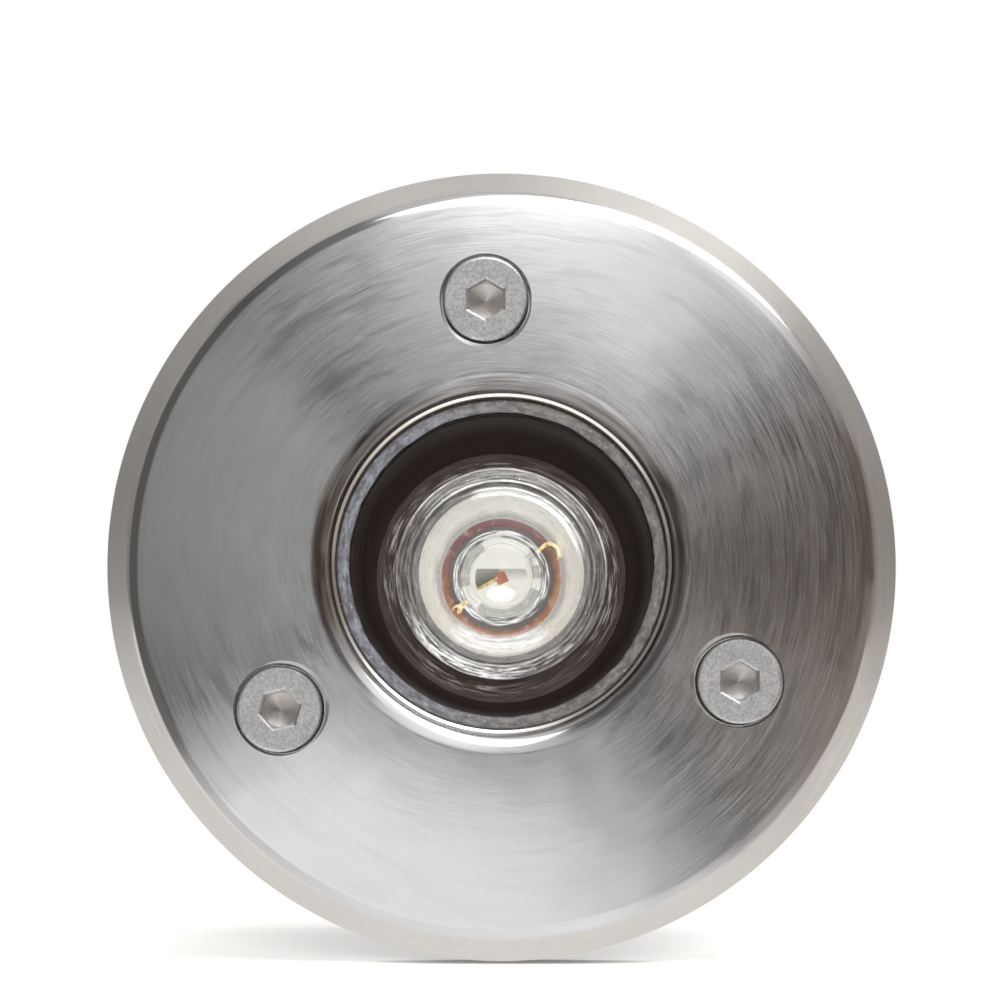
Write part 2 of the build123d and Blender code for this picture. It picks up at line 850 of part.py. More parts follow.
# Gland body: a threaded stub through the cap, a hexagon, and a collar that holds the seal
gland_collar_back = gland_hex_back + gland_collar_length
with BuildPart() as gland_body:
    turned_ring(0, gland_thread_radius, cap_front - gland_inside_length, gland_washer_back)
    with BuildSketch(at_depth(gland_washer_back)):
        RegularPolygon(gland_hex_width / 2, 6, major_radius=False)
    extrude(amount=-gland_hex_thickness)
    turned_ring(0, gland_collar_radius, gland_hex_back, gland_collar_back)
    turned_ring(
        0, gland_bore_radius, cap_front - gland_inside_length - overrun, gland_hex_back, Mode.SUBTRACT
    )
    turned_ring(
        0, gland_seal_radius + gland_nut_clearance, gland_hex_back, gland_collar_back + overrun, Mode.SUBTRACT
    )
write(gland_body, "gland_body")

# Gland seal: the rubber bush that grips the cable
with BuildPart() as gland_seal:
    turned_ring(cable_radius, gland_seal_radius, gland_hex_back, gland_hex_back + gland_seal_length)
write(gland_seal, "gland_seal")

# Gland nut: a domed hexagon nut over the collar
nut_cone_inner = gland_hex_width / 2 - gland_nut_edge
nut_cone_outer = gland_hex_width / math.sqrt(3) + gland_nut_edge
with BuildPart() as gland_nut:
    with BuildSketch(at_depth(gland_nut_front)):
        RegularPolygon(gland_hex_width / 2, 6, major_radius=False)
    extrude(amount=gland_nut_front - gland_nut_back)
    with BuildSketch(Plane.XY) as nut_section:
        with BuildLine():
            Polyline(
                (0, gland_nut_front - overrun),
                (nut_cone_outer, gland_nut_front - overrun),
                (nut_cone_outer, gland_nut_back - (nut_cone_outer - nut_cone_inner)),
                (nut_cone_inner, gland_nut_back),
                (0, gland_nut_back),
                close=True,
            )
        make_face()
    revolve(axis=Axis.Y, mode=Mode.INTERSECT)
    turned_ring(0, gland_nut_hole_radius, gland_nut_front - overrun, gland_nut_back + overrun, Mode.SUBTRACT)
    turned_ring(
        0,
        gland_collar_radius + gland_nut_clearance,
        gland_nut_front - overrun,
        gland_nut_back - gland_nut_end,
        Mode.SUBTRACT,
    )
write(gland_nut, "gland_nut")

# Flange gasket: foam rubber ring between the face ring and the wall round the sleeve
with BuildPart() as flange_gasket:
    turned_ring(
        sleeve_collar_outer + gasket_hole_clearance, ring_radius - flange_gasket_inset, ring_back, 0
    )
write(flange_gasket, "flange_gasket")

# Screw washers: a sealing washer under each head
with BuildPart() as screw_washers:
    with BuildSketch(at_depth(head_back)):
        with PolarLocations(screw_circle, screw_count, screw_start_angle):
            Circle(counterbore_radius - screw_washer_rim)
            Circle(screw_radius + screw_fit, mode=Mode.SUBTRACT)
    extrude(amount=-screw_washer_thickness)
write(screw_washers, "screw_washers")

# Screw retainers: nylon washers behind the ring that keep the screws with it when it is taken off
with BuildPart() as screw_retainers:
    with BuildSketch(at_depth(ring_back)):
        with PolarLocations(screw_circle, screw_count, screw_start_angle):
            Circle(screw_radius + screw_fit + retainer_rim)
            Circle(screw_radius + screw_fit, mode=Mode.SUBTRACT)
    extrude(amount=-retainer_thickness)
write(screw_retainers, "screw_retainers")

# Screws: low round head with a rounded edge, a hexagon socket with a drilled floor, and a plain shank
for index, name in enumerate(screw_names):
    angle = math.radians(screw_start_angle + index * 360 / screw_count)
    place = (screw_circle * math.cos(angle), screw_circle * math.sin(angle))
    with BuildPart() as screw:
        with BuildSketch(at_depth(head_front)):
            with Locations(place):
                Circle(screw_head_radius)
        extrude(amount=-screw_head_height)
        fillet(screw.edges().sort_by(Axis.Y)[0], screw_head_roundover)
        with BuildSketch(at_depth(head_back)):
            with Locations(place):
                Circle(screw_radius)
        extrude(amount=-screw_length)
        chamfer(screw.edges().sort_by(Axis.Y)[-1], screw_tip)
        with BuildSketch(at_depth(head_front)):
            with Locations(place):
                RegularPolygon(socket_width / 2, 6, major_radius=False, rotation=socket_turns[index])
        extrude(amount=-socket_depth, mode=Mode.SUBTRACT)
        with BuildSketch(at_depth(head_front + socket_depth)):
            with Locations(place):
                Circle(socket_width / 2)
        extrude(amount=-socket_cone, taper=socket_cone_angle, mode=Mode.SUBTRACT)
    write(screw, name)

# Sleeve: plastic tube with a smooth collar that fits the wall, ribs behind it and three bosses in its rim
sleeve_tube_back = sleeve_back - sleeve_end_flange
with BuildPart() as sleeve:
    turned_ring(sleeve_inner, sleeve_outer, 0, sleeve_tube_back)
    turned_ring(sleeve_inner, sleeve_collar_outer, 0, sleeve_collar_length)
    with BuildSketch(at_depth(0)):
        with PolarLocations(screw_circle, screw_count, screw_start_angle):
            Circle(boss_radius)
    extrude(amount=-boss_length)
    bored(
        insert_outer + insert_fit,
        screw_circle,
        screw_count,
        screw_start_angle,
        -overrun,
        insert_recess + insert_length,
    )
    bored(insert_inner, screw_circle, screw_count, screw_start_angle, -overrun, boss_length + overrun)
    with BuildSketch(at_depth(sleeve_collar_length)):
        with PolarLocations(sleeve_outer, rib_count):
            Rectangle(rib_height * 2, rib_width)
    extrude(amount=sleeve_collar_length - (sleeve_back - rib_end))
write(sleeve, "sleeve")

# Sleeve end: a stepped plate welded into the back of the tube, with the outlet for the cable
with BuildPart() as sleeve_end:
    turned(
        (outlet_radius, sleeve_back - sleeve_base),
        (sleeve_inner - sleeve_end_fit, sleeve_back - sleeve_base),
        (sleeve_inner - sleeve_end_fit, sleeve_tube_back),
        (sleeve_outer, sleeve_tube_back),
        (sleeve_outer, sleeve_back),
        (outlet_radius, sleeve_back),
    )
write(sleeve_end, "sleeve_end")

# Threaded inserts: brass, moulded into the sleeve's bosses
with BuildPart() as threaded_inserts:
    with BuildSketch(at_depth(insert_recess)):
        with PolarLocations(screw_circle, screw_count, screw_start_angle):
            Circle(insert_outer)
            Circle(insert_inner, mode=Mode.SUBTRACT)
    extrude(amount=-insert_length)
write(threaded_inserts, "threaded_inserts")

print("ring radius", ring_radius, "screw circle", screw_circle, "sleeve back", sleeve_back)
print("crown top", crown_top, "lens front", lens_front, "board front", board_front)
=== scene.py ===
import json
import math

import bmesh
import bpy
import numpy as np
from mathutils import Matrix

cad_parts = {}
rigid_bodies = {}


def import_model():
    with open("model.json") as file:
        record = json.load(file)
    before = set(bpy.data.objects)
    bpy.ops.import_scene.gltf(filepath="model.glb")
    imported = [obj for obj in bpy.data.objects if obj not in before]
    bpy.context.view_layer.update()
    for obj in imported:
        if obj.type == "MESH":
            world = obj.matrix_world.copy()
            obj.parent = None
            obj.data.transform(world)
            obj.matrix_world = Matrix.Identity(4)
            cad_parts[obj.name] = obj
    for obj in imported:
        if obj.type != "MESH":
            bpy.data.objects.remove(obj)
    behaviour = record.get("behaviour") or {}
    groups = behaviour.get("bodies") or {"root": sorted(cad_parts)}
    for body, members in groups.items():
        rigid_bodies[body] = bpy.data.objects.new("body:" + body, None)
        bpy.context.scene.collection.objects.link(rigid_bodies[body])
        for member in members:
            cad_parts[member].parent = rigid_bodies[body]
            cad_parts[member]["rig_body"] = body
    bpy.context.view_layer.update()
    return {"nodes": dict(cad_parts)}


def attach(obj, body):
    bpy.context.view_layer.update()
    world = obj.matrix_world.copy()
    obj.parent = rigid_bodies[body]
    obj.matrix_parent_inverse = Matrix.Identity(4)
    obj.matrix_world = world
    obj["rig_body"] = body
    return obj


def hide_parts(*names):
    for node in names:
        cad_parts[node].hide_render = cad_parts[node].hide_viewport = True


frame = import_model()
MM = 0.001

# Recess sleeve: a black plastic tube set in the wall, with a plate welded into its back. Both are moulded with a
# fine grain and keep their frame shape. Three brass inserts sit in the bosses inside its rim, for the screws.


class Field:
    """A socket whose value varies over a surface. Sums and products of fields add their own nodes."""

    def __init__(self, socket):
        self.socket = socket

    def math(self, operation, *others):
        node = self.socket.id_data.nodes.new("ShaderNodeMath")
        node.operation = operation
        for entry, value in zip(node.inputs, (self, *others)):
            feed(value, entry)
        return Field(node.outputs[0])

    def __add__(self, other):
        return self.math("ADD", other)

    def __sub__(self, other):
        return self.math("SUBTRACT", other)

    def __mul__(self, other):
        return self.math("MULTIPLY", other)

    def __truediv__(self, other):
        return self.math("DIVIDE", other)

    def __rsub__(self, other):
        return self.math("MULTIPLY", -1.0).math("ADD", other)

    __radd__ = __add__
    __rmul__ = __mul__


def feed(value, entry):
    """Puts a field's link, or a plain value, into a socket."""
    if isinstance(value, Field):
        entry.id_data.links.new(value.socket, entry)
    else:
        entry.default_value = value


def build(tree, kind, settings=None, inputs=None, output=0):
    """Adds a node to a tree, sets it up, feeds its sockets and returns one of its outputs."""
    node = tree.nodes.new(kind)
    for key, value in (settings or {}).items():
        setattr(node, key, value)
    for key, value in (inputs or {}).items():
        feed(value, node.inputs[key])
    return Field(node.outputs[output]) if node.outputs else None


class Finish:
    """A material in the making. Places and depths on the piece are given in mm."""

    def __init__(self, name):
        self.material = bpy.data.materials.new(name)
        self.material.use_nodes = True
        self.tree = self.material.node_tree
        self.tree.nodes.clear()
        self.place = self.node("TexCoord", output="Object")
        self.spot = None

    def node(self, kind, settings=None, inputs=None, output=0):
        return build(self.tree, "ShaderNode" + kind, settings, inputs, output)

    def polar(self):
        """The place on the piece, to the right, backwards and up, and its distance from the light's axis."""
        if self.spot is None:
            x, y, z = (self.node("SeparateXYZ", None, {"Vector": self.place}, axis) for axis in range(3))
            self.spot = x, y, z, (x * x + z * z).math("SQRT")
        return self.spot

    def noise(self, scale, detail=2.0, roughness=0.5, place=None):
        return self.node("TexNoise", None, {"Vector": place or self.place, "Scale": scale, "Detail": detail,
                                            "Roughness": roughness}, "Fac")

    def drawn_out(self, across, up, depth, pitch, detail=3, roughness=0.6):
        """Noise drawn out along two fields, with grooves a pitch apart along the third."""
        track = self.node("CombineXYZ", None, {"X": across, "Y": up, "Z": depth * (1 / (pitch * MM))})
        return self.noise(1.0, detail, roughness, track)

    def grooved(self, pitch, reach, detail=3, roughness=0.6, depth=None):
        """Noise drawn out round the light's axis, with rings a pitch apart."""
        x, y, z, radius = self.polar()
        return self.drawn_out(x / radius * reach, z / radius * reach, depth or radius, pitch, detail, roughness)

    def spread(self, value, low, high, new_low=0.0, new_high=1.0):
        """A field stretched from one range to another with soft ends."""
        return self.node("MapRange", {"interpolation_type": "SMOOTHSTEP"},
                         {"Value": value, "From Min": low, "From Max": high, "To Min": new_low, "To Max": new_high})

    def past(self, value, low, high, new_low=0.0, new_high=1.0):
        """One where a place is past an edge that is soft from low to high."""
        return self.spread(value, low * MM, high * MM, new_low, new_high)

    def until(self, value, low, high):
        """One where a place lies before such an edge."""
        return self.past(value, low, high, 1, 0)

    def towards(self, direction, half_width, soft=30):
        """One where the angle round the axis, from the right over the top, is within a half width of a direction,
        in degrees."""
        x, y, z, radius = self.polar()
        off = (z.math("ARCTAN2", x) - math.radians(direction)).math("COSINE")
        return self.spread(off, math.cos(math.radians(half_width + soft)), math.cos(math.radians(half_width)))

    def mix(self, share, first, second):
        """A blend of two colours."""
        pair = [value if isinstance(value, Field) else (*value, 1) for value in (first, second)]
        return self.node("Mix", {"data_type": "RGBA"}, {0: share, 6: pair[0], 7: pair[1]}, 2)

    def layered(self, tone, *layers):
        """A colour with others laid over it in turn, each by its own share."""
        for share, colour in layers:
            tone = self.mix(share, tone, colour)
        return tone

    def bump(self, height, depth, normal=None):
        entries = {"Height": height, "Distance": depth * MM, "Strength": 1.0}
        if normal:
            entries["Normal"] = normal
        return self.node("Bump", None, entries)

    def shader(self, **values):
        """The surface shader. A colour is given as three numbers or as a field."""
        entries = {}
        for key, value in values.items():
            key = key.replace("_", " ").title().replace("Ior", "IOR")
            entries[key] = (*value, 1) if isinstance(value, tuple) else value
        return self.node("BsdfPrincipled", None, entries)

    def finish(self, shader):
        output = self.tree.nodes.new("ShaderNodeOutputMaterial")
        feed(shader, output.inputs["Surface"])
        return self.material

    def made(self, **values):
        """The finished material of a plain surface shader."""
        return self.finish(self.shader(**values))


def linked(name, data):
    """A new object in the scene."""
    made = bpy.data.objects.new(name, data)
    bpy.context.scene.collection.objects.link(made)
    return made


def placed(name, mesh, node):
    """Makes a mesh the piece that stands for a frame node: it rides with the node's body, and the node itself is
    hidden.
    """
    piece = linked(name, mesh)
    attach(piece, frame["nodes"][node]["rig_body"])
    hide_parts(node)
    return piece


def mended(result, *sources, merge=None):
    """Fills a mesh with the given ones, or mends it where none is given: corners within a distance of each other
    are merged, and the faces are turned outwards."""
    shape = bmesh.new()
    for source in sources or (result,):
        shape.from_mesh(source)
    if merge:
        bmesh.ops.remove_doubles(shape, verts=shape.verts, dist=merge * MM)
    bmesh.ops.recalc_face_normals(shape, faces=shape.faces)
    shape.to_mesh(result)
    shape.free()
    return result


def smoothed(material, *nodes, crease=30, about_axis=False):
    """Replaces each frame node by a copy of its own mesh with its seams merged and its curves shaded smooth. A
    piece turned about the light's axis gets the exact outward direction on its cylinders."""
    side_wall = 0.96
    for node in nodes:
        mesh = frame["nodes"][node].data.copy()
        mesh.materials.clear()
        mesh.materials.append(material)
        mended(mesh, merge=0.002)
        mesh.shade_smooth()
        mesh.set_sharp_from_angle(angle=math.radians(crease))
        if about_axis:
            directions = [tuple(corner.vector) for corner in mesh.corner_normals]
            for face in mesh.polygons:
                for loop in face.loop_indices:
                    place = mesh.vertices[mesh.loops[loop].vertex_index].co
                    radius = max(math.hypot(place.x, place.z), 1e-9)
                    lean = (face.normal.x * place.x + face.normal.z * place.z) / radius
                    if abs(lean) > side_wall:
                        side = math.copysign(1 / radius, lean)
                        directions[loop] = (place.x * side, 0.0, place.z * side)
            mesh.normals_split_custom_set(directions)
        placed(node + "_smooth", mesh, node)


def moulded(name, colour, roughness=0.5, grain=0.02, grain_scale=4000, shift=0.25):
    """Moulded plastic or rubber: an even colour with faint flow marks and a fine grain."""
    finish = Finish(name)
    flow, speck = finish.noise(90, 3), finish.noise(grain_scale, 2)
    dark = tuple(part * (1 - shift) for part in colour)
    light = tuple(min(1, part * (1 + shift)) for part in colour)
    return finish.made(
        base_color=finish.mix(flow * 0.6 + speck * 0.4, dark, light),
        roughness=finish.spread(flow, 0.3, 0.7, roughness - 0.06, roughness + 0.08),
        normal=finish.bump(speck, grain))


def turned_metal(name, colour, roughness=0.3, pitch=0.15, depth=0.006, streak=0.12):
    """Metal turned about the light's axis: fine rings along the axis and across its faces."""
    finish = Finish(name)
    x, y, z, radius = finish.polar()
    rings = finish.drawn_out(x * 20, z * 20, radius + y, pitch)
    cloud = finish.noise(60, 3)
    dark = tuple(part * (1 - streak) for part in colour)
    return finish.made(
        base_color=finish.mix(rings * 0.6 + cloud * 0.4, dark, colour), metallic=1.0,
        roughness=finish.spread(rings * 0.5 + cloud * 0.5, 0.3, 0.7, roughness - 0.08, roughness + 0.1),
        normal=finish.bump(rings, depth))


brass_turned = turned_metal("brass_turned", (0.78, 0.57, 0.27), 0.28)
smoothed(moulded("sleeve_plastic_moulded", (0.035, 0.036, 0.04), 0.48, 0.02, 3500), "sleeve", "sleeve_end",
         about_axis=True)
smoothed(brass_turned, "threaded_inserts")

# Lamp barrel and rear cap: turned stainless steel, screwed together over the driver, each sealed by a black
# rubber ring in its groove.

black_rubber = moulded("black_rubber_matt", (0.02, 0.02, 0.02), 0.6, 0.01, 6000)
smoothed(turned_metal("barrel_steel_turned", (0.62, 0.61, 0.6), 0.3, 0.2, 0.008), "lamp_barrel", "rear_cap",
         about_axis=True)
smoothed(black_rubber, "barrel_oring", "rear_cap_oring", crease=60)

# Cable gland: nickel plated brass body and nut, with a rubber bush that would grip the cable and a sealing
# washer under its hexagon.

smoothed(turned_metal("nickel_plated", (0.66, 0.63, 0.57), 0.2, 0.12, 0.004), "gland_body", "gland_nut")
smoothed(black_rubber, "gland_washer", "gland_seal")

# Driver: a green circuit board on three brass posts behind the heat sink, with its coil, two cans, rectifier,
# chip and terminal block soldered on, and a red and a black lead to the LED board.

smoothed(moulded("board_green_mask", (0.01, 0.13, 0.045), 0.3, 0.004, 2500), "driver_board")
smoothed(brass_turned, "driver_standoffs")
smoothed(turned_metal("screw_plating", (0.6, 0.59, 0.57), 0.3, 0.2, 0.004), "driver_screws")
smoothed(moulded("ferrite_grey", (0.05, 0.05, 0.055), 0.55), "driver_inductor")
smoothed(turned_metal("can_aluminium", (0.74, 0.74, 0.76), 0.25, 0.3, 0.003), "driver_capacitors")
smoothed(moulded("component_black_moulded", (0.025, 0.025, 0.027), 0.5), "driver_rectifier", "driver_chip")
smoothed(moulded("terminal_green_moulded", (0.03, 0.28, 0.09), 0.42), "terminal_block")
smoothed(moulded("lead_sheath_red", (0.45, 0.012, 0.01), 0.35, 0.006), "lead_red")
smoothed(moulded("lead_sheath_black", (0.02, 0.02, 0.022), 0.35, 0.006), "lead_black")

# Heat sink and clamp ring: turned aluminium. The ring is screwed into the barrel behind the slotted heat sink and
# presses it forwards, onto a thin grey pad that carries the heat over from the LED board.

aluminium_turned = turned_metal("aluminium_turned", (0.8, 0.8, 0.81), 0.27, 0.2, 0.006)
smoothed(aluminium_turned, "heat_sink", "clamp_ring", about_axis=True)
smoothed(moulded("thermal_pad_grey", (0.25, 0.31, 0.37), 0.6, 0.008), "thermal_pad")

# LED: a white circuit board with solder joints and a copper contact ring, a plated emitter base with the orange
# chip and its bond wire, and two gold strips down to the ring. A moulded clear lens stands over the chip.

board_front = 31.3
emitter_front = 30.5
emitter_radius = 5.9
contact_inner = 6.4
contact_outer = 7.3
contact_front = 31.15
led_lens_radius = 5.1
led_lens_height = 7.2
led_lens_crown = 0.8
led_lens_centre = 3.3
led_ridges = 3
led_ridge_height = 0.15
led_ridge_drop = 1.275
led_cavity_radius = 3.8
led_cavity_height = 1.1


def line(start, end, steps=1):
    """A straight run of a turned section: its points, and a rule for the direction along it."""
    start, end = np.array(start, float), np.array(end, float)
    points = [start + (end - start) * step / steps for step in range(steps + 1)]
    along = (end - start) / np.linalg.norm(end - start)
    return points, lambda point: along


def lines(*corners):
    """Straight runs from corner to corner."""
    return [line(*pair) for pair in zip(corners, corners[1:])]


def arc(start, end, centre, steps):
    """A round run of a turned section, from start to end the short way about its centre."""
    start, end, centre = (np.array(point, float) for point in (start, end, centre))
    first = math.atan2(*(start - centre)[::-1])
    sweep = (math.atan2(*(end - centre)[::-1]) - first + math.pi) % (2 * math.pi) - math.pi
    size = np.linalg.norm(start - centre)
    angles = [first + sweep * step / steps for step in range(steps + 1)]
    points = [centre + size * np.array((math.cos(angle), math.sin(angle))) for angle in angles]

    def along(point):
        out = (point - centre) / np.linalg.norm(point - centre)
        return np.array((-out[1], out[0])) * math.copysign(1, sweep)

    return points, along


def marked(mesh, runs):
    """Notes on each face which run of the section it belongs to."""
    mesh.attributes.new("run", "INT", "FACE").data.foreach_set("value", runs)
    return mesh


def turned(name, runs, segments=360):
    """A solid turned about the light's axis from the runs of its section, in mm, each one smooth in itself.
    Returns its mesh and, for each run, the rule for the outward direction in the section."""
    outline = np.array([point for points, _ in runs for point in points[:-1]])
    following = np.roll(outline, -1, axis=0)
    clockwise = np.sum(outline[:, 0] * following[:, 1] - following[:, 0] * outline[:, 1]) < 0
    side = -1 if clockwise else 1
    angles = np.arange(segments) * 2 * math.pi / segments
    corners = [(r * math.cos(a) * MM, y * MM, r * math.sin(a) * MM) for r, y in outline for a in angles]
    numbers = [number for number, (points, _) in enumerate(runs) for _ in points[:-1]]
    faces = []
    for row in range(len(outline)):
        here, there = row * segments, (row + 1) % len(outline) * segments
        for step in range(segments):
            after = (step + 1) % segments
            quad = (here + step, here + after, there + after, there + step)
            faces.append(quad if clockwise else quad[::-1])
    mesh = bpy.data.meshes.new(name)
    mesh.from_pydata(corners, [], faces)
    marked(mesh, [number for number in numbers for _ in range(segments)])
    return mesh, [lambda point, along=along: side * np.array((along(point)[1], -along(point)[0])) for _, along in runs]


def shaded(mesh, outwards, centre=(0, 0), bores=()):
    """Gives each face corner of a turned mesh the exact direction of its run. Faces that a cutter left are flat,
    or lie on a bore round one of the given centres."""
    runs = mesh.attributes["run"].data
    directions = np.zeros((len(mesh.loops), 3))
    for face in mesh.polygons:
        number = runs[face.index].value
        for loop in face.loop_indices:
            place = mesh.vertices[mesh.loops[loop].vertex_index].co
            if number < len(outwards):
                side_x, side_z = place.x - centre[0], place.z - centre[1]
                radius = max(math.hypot(side_x, side_z), 1e-9)
                out = outwards[number](np.array((radius, place.y)) / MM)
                directions[loop] = (out[0] * side_x / radius, out[1], out[0] * side_z / radius)
            elif not bores or abs(face.normal.y) > 0.99:
                directions[loop] = face.normal
            else:
                bore = min(bores, key=lambda spot: math.hypot(place.x - spot[0], place.z - spot[1]))
                inward = np.array((bore[0] - place.x, 0, bore[1] - place.z))
                lean = face.normal.y
                directions[loop] = inward / np.linalg.norm(inward) * math.sqrt(1 - lean * lean) + (0, lean, 0)
    mesh.shade_smooth()
    mesh.normals_split_custom_set(directions.tolist())


def lathed(node, runs, material, clear_piece=False, name=None):
    """Replaces a frame node by a solid turned from its own section. A clear piece lets all light through, because
    a sheet of it over another would otherwise darken them."""
    name = name or node + "_turned"
    mesh, outwards = turned(name, runs, 256)
    mesh.materials.append(material)
    shaded(mesh, outwards)
    placed(name, mesh, node).visible_shadow = not clear_piece


def round_about(*corners):
    """The runs of a closed section with the given corners. A corner with a third number is rounded to it."""
    spots = [np.array(corner[:2], float) for corner in corners]
    sizes = [corner[2] if len(corner) > 2 else 0 for corner in corners]
    cuts = []
    for number, (spot, size) in enumerate(zip(spots, sizes)):
        back, on = spots[number - 1] - spot, spots[(number + 1) % len(spots)] - spot
        back, on = back / np.linalg.norm(back), on / np.linalg.norm(on)
        half = math.acos(np.clip(back @ on, -1, 1)) / 2
        run = size / math.tan(half) if size else 0
        middle = (back + on) / max(np.linalg.norm(back + on), 1e-9)
        cuts.append((spot + back * run, spot + on * run, spot + middle * (size / math.sin(half) if size else 0)))
    runs = []
    for number, (start, end, middle) in enumerate(cuts):
        if sizes[number]:
            runs.append(arc(start, end, middle, 6))
        following = cuts[(number + 1) % len(cuts)][0]
        if np.linalg.norm(following - end) > 1e-6:
            runs.append(line(end, following))
    return runs


def emitter_finish():
    """The emitter's base: pale under the lens, with a painted dark reflection in a wedge left of the chip, painted
    shade to its right, and a bright plated rim.
    """
    finish = Finish("emitter_base_plated")
    x, y, z, radius = finish.polar()
    grain = finish.noise(1400, 3)
    below = finish.until(z, 1.1, 1.2) * finish.until(radius, 3.1, 3.3)
    left = finish.until(x, -0.5, 0.3)
    # painted reflection: the dark room mirrored in the lens, laid as a clouded wedge left of the chip
    pad = below * left * finish.past(z - x * 0.48, 0.05, 0.3)
    cloud = finish.mix(finish.past(z - x * 0.4 + (grain - 0.5) * (0.6 * MM), -0.2, 2.2),
                       (0.1, 0.105, 0.08), (0.32, 0.33, 0.3))
    smears = finish.grooved(0.22, 2.2, 3, 0.7)
    metal = finish.mix(finish.spread(smears, 0.4, 0.62), (0.13, 0.115, 0.12), (0.82, 0.84, 0.88))
    rim = finish.past(radius, 4.9, 5.0)
    tone = finish.layered(
        finish.mix(grain, (0.68, 0.675, 0.655), (0.78, 0.775, 0.76)),
        # painted shade right of the chip, then the painted reflection wedge, then the plated rim
        (below * (1 - left) * finish.past(z, -0.7, 1.1, 0, 0.75), (0.34, 0.33, 0.31)), (pad, cloud), (rim, metal))
    return finish.made(base_color=tone, metallic=rim * 0.3, roughness=0.45 - rim * 0.1,
                       normal=finish.bump(smears * rim, 0.1))


def copper_finish():
    """Bare copper, mauve and darker over the top, orange below, amber on the right and darker towards its inner edge.
    """
    finish = Finish("copper_toned")
    x, y, z, radius = finish.polar()
    cloud = finish.noise(420, 3)
    wander = cloud - 0.5
    upper = finish.past(z + wander * (5 * MM), -2, 4.5)
    right = finish.past(x + wander * (4 * MM), 4.5, 7)
    worn = finish.past(radius + wander * (1.6 * MM), 6.3, 7.1)
    tone = finish.layered(
        finish.mix(upper, (0.36, 0.155, 0.1), (0.2, 0.1, 0.105)),
        (right * 0.5, (0.45, 0.28, 0.15)), ((1 - worn) * 0.65, (0.13, 0.075, 0.075)),
        (finish.spread(finish.noise(1600, 2), 0.4, 0.75) * 0.4, (0.2, 0.06, 0.04)),
        (finish.spread(finish.noise(800, 3), 0.52, 0.7) * 0.55, (0.5, 0.4, 0.33)))
    return finish.made(base_color=tone, metallic=0.35, roughness=0.38, normal=finish.bump(cloud, 0.03))


def board_finish():
    """White solder mask, left off under the emitter, where the bare grey metal of the board shows, darkened further as
    painted shade in the gaps round the contact ring.
    """
    finish = Finish("board_white_mask")
    x, y, z, radius = finish.polar()
    grain = finish.noise(900, 3)
    tone = finish.layered(
        finish.mix(grain, (0.76, 0.75, 0.68), (0.84, 0.83, 0.77)),
        # bare grey metal inside the cup's foot, darkened as painted shade, darkest in the gap between the emitter and
        # the contact ring
        (finish.until(radius, 7.8, 8.1), (0.33, 0.31, 0.3)), (finish.until(radius, 6.8, 7.0), (0.1, 0.09, 0.09)))
    return finish.made(base_color=tone, roughness=finish.spread(grain, 0.3, 0.7, 0.28, 0.4))


def gold_finish():
    """Gold plating, bright and a little browned in patches at random."""
    finish = Finish("gold_plated")
    worn = finish.noise(1500, 3, 0.6)
    tone = finish.mix(finish.spread(worn, 0.35, 0.6), (0.62, 0.42, 0.16), (1.0, 0.86, 0.56))
    return finish.made(base_color=tone, metallic=0.35, roughness=0.3, normal=finish.bump(worn, 0.04))


smoothed(board_finish(), "led_board")
lathed("contact_ring", round_about(
    (contact_inner, contact_front, 0.05), (contact_outer, contact_front, 0.05), (contact_outer, board_front),
    (contact_inner, board_front)), copper_finish())
lathed("emitter_base", round_about(
    (0, emitter_front), (emitter_radius, emitter_front, 0.15), (emitter_radius, board_front), (0, board_front)),
    emitter_finish())
smoothed(moulded("chip_orange_phosphor", (0.4, 0.16, 0.115), 0.35, 0.05, 2200, 0.55), "led_chip")


def lofted(name, rows, run=None, capped=True):
    """A skin over rows of corners, in mm, each row a closed ring."""
    count, last = len(rows[0]), (len(rows) - 1) * len(rows[0])
    faces = [(low + side, low + (side + 1) % count, low + count + (side + 1) % count, low + count + side)
             for low in range(0, last, count) for side in range(count)]
    if capped:
        faces += [tuple(range(count))[::-1], tuple(range(last, last + count))]
    mesh = bpy.data.meshes.new(name)
    mesh.from_pydata([tuple(part * MM for part in corner) for row in rows for corner in row], [], faces)
    return mesh if run is None else marked(mesh, [run] * len(faces))


def strip(points, width, thickness=0.15, steps=6):
    """A thin strip bent through points, in mm, lying flat across the light's axis."""
    spline = [np.array(point, float) for point in points]
    route = []
    for number in range(len(spline) - 1):
        before, after = spline[max(number - 1, 0)], spline[min(number + 2, len(spline) - 1)]
        start, end = spline[number], spline[number + 1]
        for step in range(steps):
            t = step / steps
            route.append(0.5 * (2 * start + (end - before) * t + (2 * before - 5 * start + 4 * end - after) * t**2
                                + (3 * start - before - 3 * end + after) * t**3))
    route.append(spline[-1])
    rows = []
    for number, spot in enumerate(route):
        along = route[min(number + 1, len(route) - 1)] - route[max(number - 1, 0)]
        along /= np.linalg.norm(along)
        across = np.cross(along, (0, 1, 0))
        across /= np.linalg.norm(across)
        up = np.cross(across, along)
        rows.append([spot + across * side * width / 2 + up * rise * thickness / 2
                     for side, rise in ((-1, -1), (1, -1), (1, 1), (-1, 1))])
    return lofted("strip", rows)


